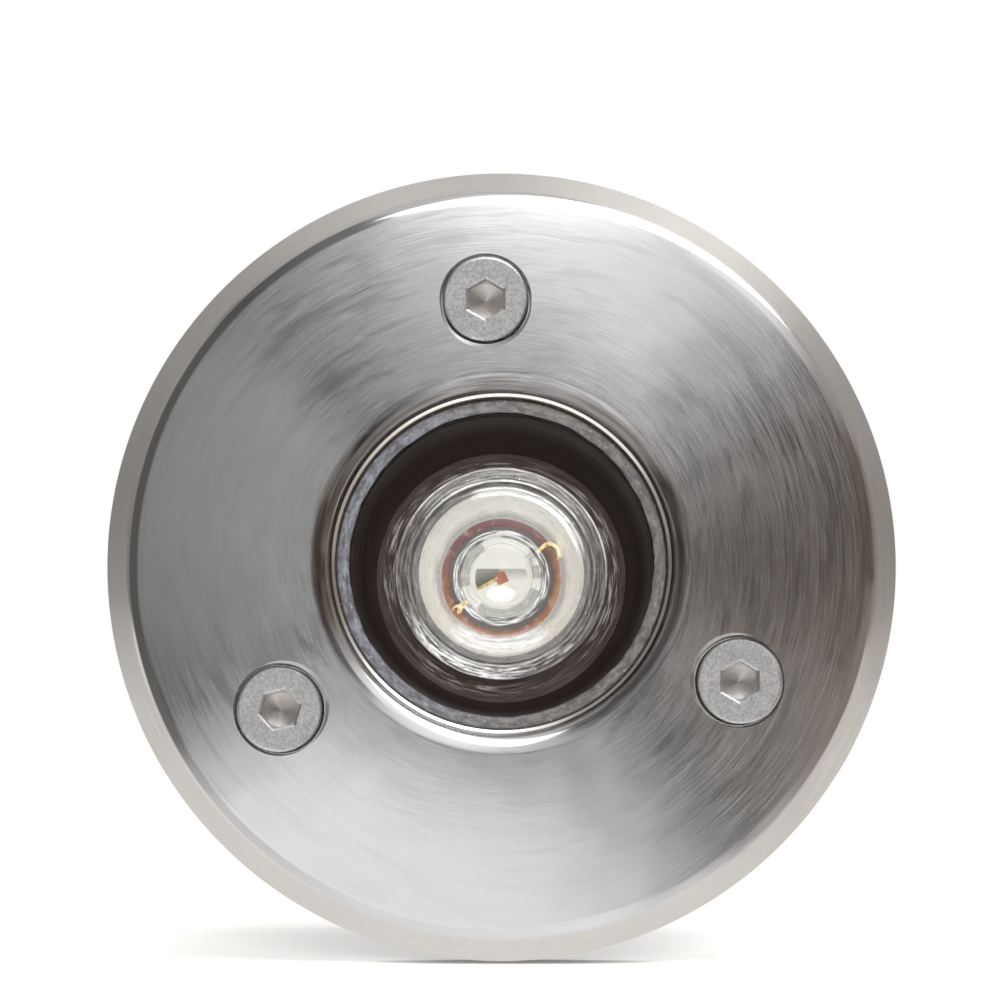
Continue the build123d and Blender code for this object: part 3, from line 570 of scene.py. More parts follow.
# the right strip arches over the copper ring and hooks down beside the cup, the left one curls down at its foot
leads_mesh = mended(
    bpy.data.meshes.new("gold_leads_bent"),
    strip([(4.3, 30.42, 3.0), (5.0, 30.2, 3.75), (5.75, 29.85, 4.2), (6.5, 29.8, 3.95), (7.0, 29.95, 3.35),
           (7.1, 30.4, 2.7), (6.95, 31.05, 2.35)], 0.45),
    strip([(-4.2, 30.42, -2.95), (-4.75, 30.15, -3.2), (-5.1, 30.2, -3.6), (-5.0, 30.6, -4.0),
           (-5.35, 31.05, -4.1)], 0.5),
    strip([(-4.6, 30.3, -3.6), (-5.2, 30.0, -3.4), (-5.7, 30.3, -3.55), (-5.9, 31.05, -3.9)], 0.3))
wire_mesh = mended(bpy.data.meshes.new("bond_wire_looped"), strip(
    [(-0.45, 30.14, -0.05), (-1.1, 29.9, -0.4), (-2.0, 29.98, -0.9), (-2.95, 30.42, -1.4)], 0.34, 0.12))
gold_plate = gold_finish()
for node, mesh in (("gold_leads", leads_mesh), ("bond_wire", wire_mesh)):
    mesh.materials.append(gold_plate)
    mesh.shade_smooth()
    mesh.set_sharp_from_angle(angle=math.radians(50))
    placed(mesh.name, mesh, node)
smoothed(turned_metal("solder_bright", (0.75, 0.75, 0.76), 0.25, 0.5, 0.01), "solder_joints")


def clear(name, tint, sheen=None, frost=None):
    """Clear moulded plastic or glass. What it mirrors grows towards its edges and where sheen says so, and it is milky
    white where its frost mask says so, which holds ground frost as well as painted highlights."""
    finish = Finish(name)
    mirror = finish.node("BsdfPrincipled", None, {
        "Base Color": (1, 1, 1, 1), "Metallic": 1.0, "Roughness": 0.06,
        "Normal": finish.bump(finish.noise(300, 3), 0.015)})
    through = finish.node("BsdfTransparent", None, {"Color": (*tint, 1)})
    if frost:
        share, tone = frost(finish)
        # milky white: ground frost, and painted highlights where the mask leans to one side
        milky = finish.shader(base_color=tone, roughness=0.3)
        through = finish.node("MixShader", None, {0: share, 1: through, 2: milky})
    share = finish.node("Fresnel", None, {"IOR": 1.5})
    if sheen:
        share = share + sheen(finish)
    return finish.finish(finish.node("MixShader", None, {0: share.math("MINIMUM", 0.9), 1: through, 2: mirror}))


led_lens_front = emitter_front - led_lens_height
led_lens_tip = led_lens_front - led_lens_crown
ridge_width = (led_lens_radius - led_lens_centre) / led_ridges
dome_centre = led_lens_tip + (led_lens_centre**2 + led_lens_crown**2) / (2 * led_lens_crown)
led_lens_runs = [arc((0, led_lens_tip), (led_lens_centre, led_lens_front), (0, dome_centre), 14)]
for ridge in range(led_ridges):
    inner = led_lens_centre + ridge * ridge_width
    if ridge:
        led_lens_runs.append(line((inner, led_lens_front + led_ridge_height), (inner, led_lens_front)))
    led_lens_runs.append(arc((inner, led_lens_front), (inner + ridge_width, led_lens_front + led_ridge_height),
                             (inner, led_lens_front + led_ridge_drop), 5))
led_lens_runs += lines(
    (led_lens_radius, led_lens_front + led_ridge_height), (led_lens_radius, emitter_front),
    (led_cavity_radius, emitter_front), (led_cavity_radius, emitter_front - led_cavity_height),
    (0, emitter_front - led_cavity_height), (0, led_lens_tip))


def ridge_sheen(finish):
    """Mirrors a little more on the lens's fine ridges."""
    x, y, z, radius = finish.polar()
    front = finish.until(y, led_lens_front + 0.3, led_lens_front + 0.5)
    wall = finish.past(y, led_lens_front + 0.5, led_lens_front + 1) * finish.past(radius, 4.95, 5.05)
    return finish.past(radius, 3.25, 3.35, 0.0, 0.06) * front + wall * 0.3


def dome_frost(finish):
    """A painted highlight, milky white, low on the dome, and greyish ridges round it."""
    x, y, z, radius = finish.polar()
    front = finish.until(y, led_lens_front + 0.6, led_lens_front + 0.8)
    # the pale oval low on the dome is a painted highlight
    across, up = (x + 0.1 * MM) * (1 / (2.5 * MM)), (z + 2.25 * MM) * (1 / (1.35 * MM))
    scuff = finish.spread(across * across + up * up, 0.1, 1.0, 0.9, 0)
    ridge = (radius * (1 / (ridge_width * MM)) - led_lens_centre / ridge_width).math("FRACT")
    ridge = finish.spread(ridge, 0.75, 0.95) * finish.past(radius, 3.4, 3.5)
    ridge = ridge * finish.spread(finish.noise(260, 2), 0.35, 0.6, 0.1, 0.5)
    return scuff.math("MAXIMUM", ridge) * front, finish.mix(scuff, (0.5, 0.51, 0.5), (1.0, 1.0, 1.0))


lathed("led_lens", led_lens_runs, clear("led_lens_clear", (0.99, 0.99, 0.98), ridge_sheen, dome_frost), True)

# Reflector cup, lens holder and lamp lens: the cup is moulded in cream plastic, the holder in black. The clear
# lens lies on the holder with a stepped rim, and is held back by the tube's end.

cup_base = 7.5
cup_mouth = 9.9
cup_wall = 0.7
cup_bulge = 0.35
lens_back = 19.3
lens_front = 16.3
lens_radius = 12.7
lens_steps = 3
lens_step_width = 0.9
lens_step_height = 0.7
lens_crown = 0.5
lens_face_edge = 0.55
holder_inner = 10.7
holder_outer = 11.8
baffle_back = 30.1
board_outer = 23.9


def cup_finish():
    """Cream moulded plastic with faint grey marks, painted grey-blue shade round its foot, painted dark shade on its
    outer rim and a painted glow.
    """
    finish = Finish("cup_cream_moulded")
    x, y, z, radius = finish.polar()
    marks = finish.noise(330, 3, 0.6)
    outside = finish.past(radius, 9.86, 9.94)
    tone = finish.layered(
        finish.mix(finish.noise(60, 2), (0.82, 0.81, 0.775), (0.88, 0.87, 0.84)),
        # painted shade: grey-blue round the foot, and dark on the outer rim past the mouth
        (finish.past(y + (marks - 0.5) * (6 * MM), 27.4, 31.2) * 0.85, (0.38, 0.395, 0.405)),
        (finish.spread(marks, 0.58, 0.72) * 0.25, (0.42, 0.43, 0.4)), (outside, (0.12, 0.115, 0.12)))
    # painted light: the cup glows a little, as if its thin plastic let light through, so that its steep wall looks no
    # darker than its foot. The outer rim does not glow.
    return finish.made(
        base_color=tone, roughness=finish.spread(marks, 0.3, 0.7, 0.2, 0.35), normal=finish.bump(marks, 0.01),
        emission_color=finish.mix(outside, tone, (0.0, 0.0, 0.0)), emission_strength=0.27)


def circle_through(first, middle, last):
    """The centre of the circle through three points."""
    rows = np.array([np.subtract(middle, first), np.subtract(last, first)], float) * 2
    totals = [np.dot(middle, middle) - np.dot(first, first), np.dot(last, last) - np.dot(first, first)]
    return np.linalg.solve(rows, totals)


cup_half = ((cup_base + cup_mouth) / 2 + cup_bulge, (board_front + lens_back) / 2)
cup_centre = circle_through((cup_base, board_front), cup_half, (cup_mouth, lens_back))
lathed("reflector_cup", [
    arc((cup_base, board_front), (cup_mouth, lens_back), cup_centre, 24),
    line((cup_mouth, lens_back), (cup_mouth + cup_wall, lens_back)),
    arc((cup_mouth + cup_wall, lens_back), (cup_base + cup_wall, board_front), cup_centre + (cup_wall, 0), 24),
    line((cup_base + cup_wall, board_front), (cup_base, board_front)),
], cup_finish())


def holder_finish():
    """Black moulded plastic, warm in the light, with a scuffed line round its flange."""
    finish = Finish("holder_black_moulded")
    x, y, z, radius = finish.polar()
    rings = finish.grooved(0.24, 4)
    scuff = finish.past(radius, 12.9, 13.3) * finish.until(radius, 14.0, 14.8)
    scuff = scuff * finish.spread(finish.noise(90, 2), 0.35, 0.6, 0.15, 1.0)
    tone = finish.layered(
        finish.mix(finish.spread(rings, 0.3, 0.7), (0.022, 0.015, 0.0135), (0.07, 0.054, 0.049)),
        (scuff * finish.spread(rings, 0.5, 0.62, 0.0, 0.95), (0.3, 0.285, 0.28)))
    return finish.made(base_color=tone, roughness=finish.spread(rings, 0.3, 0.7, 0.32, 0.45),
                       normal=finish.bump(rings, 0.03))


lathed("lens_holder", round_about(
    (holder_inner, lens_back, 0.2), (holder_outer, lens_back, 0.2), (holder_outer, baffle_back),
    (board_outer, baffle_back), (board_outer, board_front), (holder_inner, board_front)), holder_finish())


def rim_sheen(finish):
    """Mirrors a little more on the lens's stepped rim."""
    return finish.past(finish.polar()[3], 9.8, 9.95) * 0.03


def rim_frost(finish):
    """The stepped rim is ground, so that it is milky in smears round it. Over that lie painted highlights, milky
    white: low on the left and at the bottom, on its edges over the top, where the face meets it on the upper right,
    and a painted glare low on the face inside the rim."""
    x, y, z, radius = finish.polar()
    front = finish.until(y, lens_back - 0.4, lens_back - 0.2)
    smears = finish.spread(finish.grooved(0.28, 5, 3, 0.65), 0.32, 0.68)

    def band(inner, outer, soft=0.06):
        return finish.past(radius, inner - soft, inner + soft) * finish.until(radius, outer - soft, outer + soft)

    share = band(9.85, 12.8) * (0.05 + smears * 0.12)
    # painted highlights and glare: the bands below that lean towards one side
    for place in (
        band(11.35, 12.75, 0.15) * finish.towards(243, 10, 36) * (0.05 + smears * 0.85),
        band(11.35, 12.1, 0.15) * finish.towards(268, 34, 40) * (0.02 + smears * 0.3),
        band(10.95, 11.2) * (0.1 + finish.towards(85, 35) * 0.6 + finish.towards(262, 35) * 0.3),
        band(12.45, 12.66) * (0.15 + finish.towards(75, 55) * 0.6),
        band(11.35, 12.3, 0.15) * finish.towards(85, 25, 40) * 0.25,
        band(9.2, 10.25, 0.12) * finish.towards(63, 28, 30) * 0.95,
        band(7.6, 9.6, 0.5) * finish.towards(268, 22, 24) * 0.65,
    ):
        share = share + place
    return (share * front).math("MINIMUM", 0.95), finish.mix(smears, (0.5, 0.49, 0.49), (1.0, 1.0, 1.0))


lens_corners = []
for step in range(lens_steps):
    radius = lens_radius - (lens_steps - step) * lens_step_width
    depth = lens_front + step * lens_step_height
    lens_corners += [(radius, depth, 0.3 if step else lens_face_edge), (radius, depth + lens_step_height)]
lens_corners += [(lens_radius, lens_front + lens_steps * lens_step_height, 0.35), (lens_radius, lens_back),
                 (0, lens_back), (0, lens_front - lens_crown)]
lens_runs = round_about(*lens_corners)
# the face's straight run from the middle to the rounded edge becomes the crown
crown_start, crown_end = (0, lens_front - lens_crown), lens_runs[0][0][0]
crown_rise = crown_end[1] - crown_start[1]
lens_runs[-1] = arc(crown_start, crown_end,
                    (0, crown_start[1] + (crown_end[0]**2 + crown_rise**2) / (2 * crown_rise)), 30)
lathed("lamp_lens", lens_runs, clear("lamp_lens_clear", (0.985, 0.985, 0.975), rim_sheen, rim_frost), True)

# Baffle tube: black anodised aluminium, turned with fine rings inside so that it swallows stray light. It is held
# between the face ring's ledge and the lens holder's flange.

baffle_front = 3.1
baffle_inner_front = 17.5
baffle_inner_back = 15.2
baffle_outer = 18.8


def baffle_finish():
    """Black anodising, warm in the light, over fine turned rings."""
    finish = Finish("baffle_black_anodised")
    x, y, z, radius = finish.polar()
    rings = finish.drawn_out(x * 30, z * 30, y, 0.5)
    dust = finish.spread(finish.noise(900, 3, 0.7), 0.68, 0.75)
    tone = finish.layered(
        finish.mix(finish.spread(rings, 0.3, 0.7), (0.014, 0.007, 0.0055), (0.045, 0.026, 0.022)),
        (finish.past(y, 3, 12, 0.6, 0), (0.008, 0.004, 0.003)), (finish.past(y, 12, 29) * 0.5, (0.1, 0.07, 0.062)),
        (dust * 0.25, (0.2, 0.18, 0.16)))
    return finish.made(base_color=tone, roughness=finish.spread(rings, 0.3, 0.7, 0.4, 0.6), specular_ior_level=0.12,
                       normal=finish.bump(rings, 0.06))


lathed("baffle_tube", round_about(
    (baffle_inner_front, baffle_front, 0.3), (baffle_outer, baffle_front), (baffle_outer, baffle_back),
    (baffle_inner_back, baffle_back, 0.1)), baffle_finish())

# Face ring: turned from stainless steel. Its crown is brushed round the axis, the rim's radius is polished and
# the chamfer outside it is left satin. Three counterbores take the screw heads.

ring_radius = 45.0
ring_back = -1.0
rim_land_front = -2.6
chamfer_run = 3.05
rim_edge_break = 0.3
crown_radius = 80.0
bore_radius = 18.9
crown_top = -8.7
rim_roundover = 3.4
mouth_roundover = 2.8
lip_width = 0.32
lip_slope = 38
ledge_inner = 17.6
ledge_front = 1.1
ledge_back = 3.1
spigot_inner = 18.85
spigot_outer = 21.9
spigot_back = 8.0
groove_front = 1.2
groove_back = 3.2
groove_floor = 20.65
screw_circle = 30.0
screw_angles = (93.5, 213.5, 333.5)
head_radius = 4.9
head_height = 4.0
head_sink = 0.35
counterbore_radius = 5.22
counterbore_edge = 0.45
counterbore_room = 0.6
shank_hole_radius = 3.2

rim_corner = np.array((ring_radius - chamfer_run, rim_land_front - chamfer_run))
mouth_corner = np.array((bore_radius, crown_top))
chord = mouth_corner - rim_corner
sink = math.sqrt(crown_radius**2 - chord @ chord / 4)
crown_centre = (rim_corner + mouth_corner) / 2 - np.array((-chord[1], chord[0])) / np.linalg.norm(chord) * sink
# the rim's roundover touches the crown and the chamfer, the mouth's touches the crown and the bore
chamfer_inward = np.array((-1, 1)) / math.sqrt(2)
foot = rim_corner + chamfer_inward * rim_roundover - crown_centre
slide = np.array((1, 1)) / math.sqrt(2)
reach = crown_radius - rim_roundover
half_way = math.sqrt((foot @ slide) ** 2 - foot @ foot + reach**2)
rim_centre = crown_centre + foot + slide * min((half_way - foot @ slide, -half_way - foot @ slide), key=abs)
rim_crown_end = crown_centre + (rim_centre - crown_centre) * crown_radius / reach
rim_chamfer_end = rim_centre - chamfer_inward * rim_roundover
mouth_reach = crown_radius - mouth_roundover
mouth_out = bore_radius + mouth_roundover - crown_centre[0]
mouth_centre = np.array((bore_radius + mouth_roundover, crown_centre[1] - math.sqrt(mouth_reach**2 - mouth_out**2)))
mouth_crown_end = crown_centre + (mouth_centre - crown_centre) * crown_radius / mouth_reach
# a narrow flat, turned last, breaks the mouth's edge
lip_start = mouth_centre + (-mouth_roundover + lip_width, 0)
lip_start[1] -= math.sqrt(mouth_roundover**2 - (mouth_roundover - lip_width) ** 2)
lip_end = lip_start + (-lip_width, lip_width * math.tan(math.radians(lip_slope)))
ring_mesh, ring_outwards = turned("face_ring_turned", [
    line(lip_end, lip_start),
    arc(lip_start, mouth_crown_end, mouth_centre, 18),
    arc(mouth_crown_end, rim_crown_end, crown_centre, 24),
    arc(rim_crown_end, rim_chamfer_end, rim_centre, 10),
    line(rim_chamfer_end, (ring_radius, rim_land_front), 3),
    *lines((ring_radius, rim_land_front), (ring_radius, ring_back - rim_edge_break),
           (ring_radius - rim_edge_break, ring_back)),
    line((ring_radius - rim_edge_break, ring_back), (spigot_outer, ring_back), 2),
    *lines((spigot_outer, ring_back), (spigot_outer, groove_front), (groove_floor, groove_front),
           (groove_floor, groove_back), (spigot_outer, groove_back), (spigot_outer, spigot_back),
           (spigot_inner, spigot_back), (spigot_inner, ledge_back), (ledge_inner, ledge_back),
           (ledge_inner, ledge_front), (bore_radius, ledge_front)),
    line((bore_radius, ledge_front), lip_end, 2),
])


def crown_depth(radius):
    return crown_centre[1] - math.sqrt(crown_radius**2 - (radius - crown_centre[0]) ** 2)


class Tree:
    """A geometry tree in the making, with a mesh, the named sizes and a material coming in."""

    def __init__(self, name, **defaults):
        self.tree = bpy.data.node_groups.new(name, "GeometryNodeTree")
        kinds = {key: "Int" if isinstance(value, int) else "Float" for key, value in defaults.items()}
        for key, kind in {"mesh": "Geometry", **kinds, "material": "Material"}.items():
            socket = self.tree.interface.new_socket(key.replace("_", " ").title(), in_out="INPUT",
                                                    socket_type="NodeSocket" + kind)
            if key in defaults:
                socket.default_value = defaults[key]
        self.tree.interface.new_socket("Mesh", in_out="OUTPUT", socket_type="NodeSocketGeometry")
        entries = self.tree.nodes.new("NodeGroupInput").outputs
        self.given = {socket.name: Field(socket) for socket in entries if socket.name}

    def add(self, kind, settings=None, output=0, **inputs):
        """Adds a node, with its sockets given by name."""
        return build(self.tree, kind, settings, {key.replace("_", " "): value for key, value in inputs.items()},
                     output)

    def close(self, shape):
        """Makes the shape real, gives it its material and ends the tree."""
        shape = self.add("GeometryNodeRealizeInstances", Geometry=shape)
        shape = self.add("GeometryNodeSetMaterial", Geometry=shape, Material=self.given["Material"])
        self.add("NodeGroupOutput", Mesh=shape)

    def grow(self, name, mesh, **values):
        """Runs the tree on a mesh with the named inputs, and returns the result as a plain mesh."""
        maker = linked(name, mesh)
        modifier = maker.modifiers.new(name, "NODES")
        modifier.node_group = self.tree
        entries = {item.name: item.identifier for item in self.tree.interface.items_tree if item.in_out == "INPUT"}
        for key, value in values.items():
            modifier[entries[key.replace("_", " ").title()]] = value
        result = bpy.data.meshes.new_from_object(maker.evaluated_get(bpy.context.evaluated_depsgraph_get()))
        result.name = name
        bpy.data.objects.remove(maker)
        return result


# a tree that repeats a mesh about the light's axis
around = Tree("around_axis", count=3, start_angle=0.0)
step_angle = (around.add("GeometryNodeInputIndex") * (2 * math.pi) / around.given["Count"]
              + around.given["Start Angle"])
turn = around.add("ShaderNodeCombineXYZ", Y=step_angle * -1.0)
around.close(around.add(
    "GeometryNodeInstanceOnPoints", Points=around.add("GeometryNodePoints", Count=around.given["Count"]),
    Instance=around.given["Mesh"], Rotation=around.add("FunctionNodeEulerToRotation", Euler=turn)))

# one cutter for a counterbore with its turned edge, repeated at the three screws. The faces that it leaves are
# marked by a number past those of the section's own runs
CUT_RUN = 1000
high_side = crown_depth(screw_circle - counterbore_radius)
head_front = crown_depth(screw_circle) + head_sink
counterbore_floor = head_front + head_height + counterbore_room
cutter_angles = [2 * math.pi * step / 96 for step in range(96)]
cutter_mesh = lofted("counterbore_cutter", [
    [(screw_circle + radius * math.cos(angle), depth, radius * math.sin(angle)) for angle in cutter_angles]
    for radius, depth in (
        (shank_hole_radius, 1.0), (shank_hole_radius, counterbore_floor), (counterbore_radius, counterbore_floor),
        (counterbore_radius, high_side + counterbore_edge),
        (counterbore_radius + counterbore_edge + 1.0, high_side - 1.0))], CUT_RUN)
cutters = mended(around.grow("counterbore_cutters", cutter_mesh, count=3,
                             start_angle=math.radians(screw_angles[0]), material=aluminium_turned))


def cut(name, mesh, cutter):
    """A mesh with another taken out of it."""
    pair = [linked(name, mesh), linked(name + "_cutter", cutter)]
    modifier = pair[0].modifiers.new("cut", "BOOLEAN")
    modifier.object, modifier.operation, modifier.solver = pair[1], "DIFFERENCE", "EXACT"
    result = bpy.data.meshes.new_from_object(pair[0].evaluated_get(bpy.context.evaluated_depsgraph_get()))
    for part in pair:
        bpy.data.objects.remove(part)
    return result


def brushed_crown():
    """Stainless steel, brushed round the axis on the crown, polished on both roundovers, satin on the chamfer."""
    finish = Finish("face_steel_brushed")
    x, y, z, radius = finish.polar()
    angle = z.math("ARCTAN2", x)

    def grooves(pitch, wander, waves, phase, reach_round, detail=2.5):
        """Rings whose track wanders in and out, so that two sets of grooves cross."""
        drift = (angle * waves + phase).math("SINE") * (wander * MM)
        return finish.grooved(pitch, reach_round, detail, 0.55, radius + drift)

    streaks = (grooves(0.12, 0.9, 3, 0.4, 5) * 0.45 + grooves(0.17, -1.2, 2, 1.9, 7) * 0.35
               + grooves(0.4, 0.7, 5, 3.1, 6) * 0.2)
    fine = grooves(0.035, 0.3, 2, 0.7, 3, 1)
    patches = finish.spread(grooves(5, 2.0, 2, 0.9, 1.6, 4), 0.42, 0.66)
    bundles = finish.spread(grooves(1.5, 1.6, 3, 2.2, 3.2, 3), 0.48, 0.68)
    bands = finish.spread(finish.grooved(0.4, 2.5), 0.45, 0.62)
    worn, waves = finish.noise(70, 4, 0.6), finish.noise(55, 2)

    # where the crown mirrors the bright or even parts of the room, its brushing hardly shows
    calm = (finish.towards(170, 18, 20) + finish.towards(258, 34, 22)
            + finish.towards(78, 24, 22) * 0.8).math("MINIMUM", 1.0)
    chamfer = finish.past(radius, 42.3, 42.8)
    rim = finish.past(radius, 40.9, 41.4) * (1 - chamfer)
    mouth, near_mouth = finish.until(radius, 20.3, 21.9), finish.until(radius, 20.5, 22.6)
    lip = finish.until(radius, 19.2, 19.25)
    # painted shade: the ledge behind the glass is darkened almost to black
    ledge = finish.past(y, 0.2, 0.6) * finish.until(radius, 18.0, 18.2)
    # the painted shade on the mouth is left off on its low side
    high_side_only = 1 - finish.towards(245, 38, 22)
    brushed = 1 - rim.math("MAXIMUM", mouth * 0.75)
    satin = finish.layered(
        finish.mix(finish.spread(fine, 0.3, 0.7), (0.61, 0.59, 0.565), (0.65, 0.63, 0.605)),
        # painted shade: the chamfer's colour is darker on the upper right, to hold down the key light's glare there
        (finish.towards(62, 26, 22) * 0.75, (0.45, 0.43, 0.405)))
    tone = finish.layered(
        finish.mix(finish.spread(streaks, 0.32, 0.68), (0.56, 0.555, 0.555), (0.62, 0.62, 0.625)),
        (calm * 0.85, (0.59, 0.585, 0.585)),
        (patches * (0.4 - calm * 0.25), (0.44, 0.445, 0.46)),
        (bundles * (0.7 - calm * 0.6), (0.34, 0.345, 0.36)),
        # painted reflection: darker and warmer on the right, as the dark warm side of the room
        (finish.towards(0, 30, 26) * 0.35, (0.46, 0.42, 0.405)),
        # painted shade: the rolled mouth and the rings beside it are darkened, most over the top, but for its edge and
        # its low side, where it mirrors the light
        (mouth * high_side_only * (0.2 + finish.towards(90, 60, 50) * 0.5), (0.16, 0.145, 0.135)),
        (near_mouth * high_side_only * bands * 0.6, (0.13, 0.115, 0.11)),
        (lip * 0.95, (0.97, 0.92, 0.87)), (chamfer, satin), (ledge, (0.03, 0.025, 0.024)))
    roughness = finish.spread(streaks * 0.6 + worn * 0.4, 0.35, 0.65, 0.11, 0.2) * (0.45 + 0.55 * brushed)
    cut_in = finish.bump(fine * brushed * (1 - calm * 0.8), 0.026)
    seen = finish.bump(streaks * brushed * (1 - calm * 0.85), 0.018, cut_in)
    return finish.made(
        base_color=tone, metallic=1.0, roughness=roughness + chamfer * 0.2 + lip * 0.1 + calm * brushed * 0.07,
        normal=finish.bump(waves, 0.25, seen))


ring_mesh = cut("face_ring_turned", ring_mesh, cutters)
ring_mesh.materials.clear()
ring_mesh.materials.append(brushed_crown())
screw_spots = [(screw_circle * MM * math.cos(math.radians(a)), screw_circle * MM * math.sin(math.radians(a)))
               for a in screw_angles]
shaded(ring_mesh, ring_outwards, bores=screw_spots)
placed("face_ring_turned", ring_mesh, "face_ring")

# Front glass: a flat toughened disc on a black gasket in the mouth. A bead of grey silicone, pressed in by hand,
# fills the gap round it and stands on its edge as a low uneven ring.

glass_radius = 18.5
glass_front = -3.7
glass_back = 0.3
glass_edge = 0.4
lathed("front_glass", round_about(
    (0, glass_front), (glass_radius - glass_edge, glass_front), (glass_radius, glass_front + glass_edge),
    (glass_radius, glass_back - glass_edge), (glass_radius - glass_edge, glass_back), (0, glass_back)),
    clear("front_glass_toughened", (0.98, 0.983, 0.98)), True)
smoothed(black_rubber, "glass_gasket")


def silicone_finish():
    """Cured silicone: grey, bluer and lighter on the left and browner on the right, smeared and specked where the
    finger left it, with painted shade at its outer edge.
    """
    finish = Finish("silicone_grey_bead")
    x, y, z, radius = finish.polar()
    smear = finish.grooved(0.5, 14, 4, 0.65)
    speck = finish.noise(2600, 2)
    pale = finish.mix(finish.past(x, -16, 6), (0.135, 0.14, 0.17), (0.12, 0.112, 0.106))
    tone = finish.layered(
        finish.mix(finish.spread(smear, 0.32, 0.68), (0.045, 0.043, 0.044), pale),
        # painted shade: darker at the outer edge, where the bead meets the bore's wall
        (finish.past(radius, 18.5, 18.75) * 0.9, (0.022, 0.016, 0.013)),
        (finish.spread(speck, 0.62, 0.72) * 0.3, (0.35, 0.35, 0.36)))
    return finish.made(base_color=tone, roughness=finish.spread(smear, 0.3, 0.7, 0.35, 0.6),
                       normal=finish.bump(smear * 0.7 + speck * 0.3, 0.06))


# the bead is an oval section led round a circle, with lumps pushed into it
bead = Tree("silicone_bead", radius=0.0186, half_width=0.001, half_height=0.0004, depth=-0.0039, wander=0.00015,
            seed=3.0)
path = bead.add("GeometryNodeCurvePrimitiveCircle", Resolution=720, Radius=bead.given["Radius"])
section = bead.add("GeometryNodeCurvePrimitiveCircle", Resolution=20, Radius=1.0)
oval = bead.add("ShaderNodeCombineXYZ", X=bead.given["Half Width"], Y=bead.given["Half Height"], Z=1.0)
section = bead.add("GeometryNodeTransform", Geometry=section, Scale=oval)
tube = bead.add("GeometryNodeCurveToMesh", Curve=path, Profile_Curve=section)
tube = bead.add("GeometryNodeTransform", Geometry=tube, Rotation=bead.add("ShaderNodeCombineXYZ", X=math.pi / 2),
                Translation=bead.add("ShaderNodeCombineXYZ", Y=bead.given["Depth"]))
lumps = bead.add("ShaderNodeTexNoise", {"noise_dimensions": "4D"}, "Color", W=bead.given["Seed"], Scale=420.0,
                 Detail=3.0, Vector=bead.add("GeometryNodeInputPosition"))
lumps = build(bead.tree, "ShaderNodeVectorMath", {"operation": "SUBTRACT"}, {0: lumps, 1: (0.5, 0.5, 0.5)})
push = bead.add("ShaderNodeVectorMath", {"operation": "SCALE"}, Vector=lumps, Scale=bead.given["Wander"] * 4.0)
tube = bead.add("GeometryNodeSetPosition", Geometry=tube, Offset=push)
bead.close(bead.add("GeometryNodeSetShadeSmooth", Geometry=tube))

silicone = silicone_finish()
placed("glass_bead_smeared", bead.grow(
    "glass_bead_smeared", bpy.data.meshes.new("bead_start"), radius=18.12 * MM, half_width=0.78 * MM,
    half_height=0.4 * MM, depth=-3.75 * MM, wander=0.11 * MM, seed=3.0, material=silicone), "glass_bead")
lathed("glass_bead", round_about(
    (glass_radius, glass_front), (bore_radius, glass_front), (bore_radius, glass_back), (glass_radius, glass_back)),
    silicone, name="glass_bead_filling")
smoothed(black_rubber, "flange_gasket", about_axis=True)

# Screws: three stainless M6 screws with low heads and hexagon sockets. Each keeps a nylon washer under its head
# and a nylon retainer behind the face ring, so that it stays with the light when the light is lifted out.

screw_radius = 3.0
screw_root = 2.5
screw_pitch = 1.0
screw_length = 16.0
screw_point = 0.5
thread_relief = 3.5
head_roundover = 0.45
socket_width = 4.0
socket_depth = 2.3
socket_edge = 0.25
drill_radius = 1.95
drill_depth = 1.05
screw_turns = {"screw_top": 30, "screw_left": 13.5, "screw_right": 30}
head_back = head_front + head_height
tip = head_back + screw_length
screw_mesh, screw_outwards = turned("screw_solid", round_about(
    (0, head_front), (head_radius, head_front, head_roundover), (head_radius, head_back, 0.15),
    (screw_root, head_back), (screw_root, tip - screw_point), (screw_root - screw_point, tip), (0, tip)), 96)
hexagon = [(socket_width / math.sqrt(3) * math.cos(math.radians(angle)),
            socket_width / math.sqrt(3) * math.sin(math.radians(angle))) for angle in range(0, 360, 60)]
wide = 1 + socket_edge * 2 / socket_width
socket_mesh = lofted("socket_cutter", [[(x * grow, depth, z * grow) for x, z in hexagon] for depth, grow in (
    (head_front - 0.1, wide * 1.03), (head_front, wide), (head_front + socket_edge * 0.7, 1.0),
    (head_front + socket_depth, 1.0))], CUT_RUN)
# the drill left a cone in the socket's floor
cone_edge = head_front + socket_depth - 0.02
cone_mesh = turned("socket_cone", lines(
    (0, cone_edge), (drill_radius, cone_edge), (drill_radius, cone_edge + 0.04), (0, cone_edge + drill_depth),
    (0, cone_edge)), 48)[0]
cone_mesh.attributes["run"].data.foreach_set("value", [CUT_RUN] * len(cone_mesh.polygons))
for mesh in (screw_mesh, socket_mesh, cone_mesh):
    mended(mesh, merge=0.0005)
screw_mesh = cut("screw_solid", cut("screw_solid", screw_mesh, socket_mesh), cone_mesh)


def thread(name, front, back, steps_round=48, steps_pitch=8):
    """The screw's thread: one ridge that winds along it, as a sleeve of its own over the core."""
    rows = int((back - front) / screw_pitch * steps_pitch)
    rings = []
    for row in range(rows + 1):
        depth = front + (back - front) * row / rows
        fade = min(1, row / steps_pitch, (rows - row) / steps_pitch)
        rings.append([])
        for step in range(steps_round):
            wave = abs(((depth / screw_pitch - step / steps_round) % 1) * 2 - 1)
            radius = screw_root + (screw_radius - screw_root) * min(1, wave * 1.15) * fade + 0.002
            angle = 2 * math.pi * step / steps_round
            rings[-1].append((radius * math.cos(angle), depth, radius * math.sin(angle)))
    return lofted(name, rings, CUT_RUN, False)


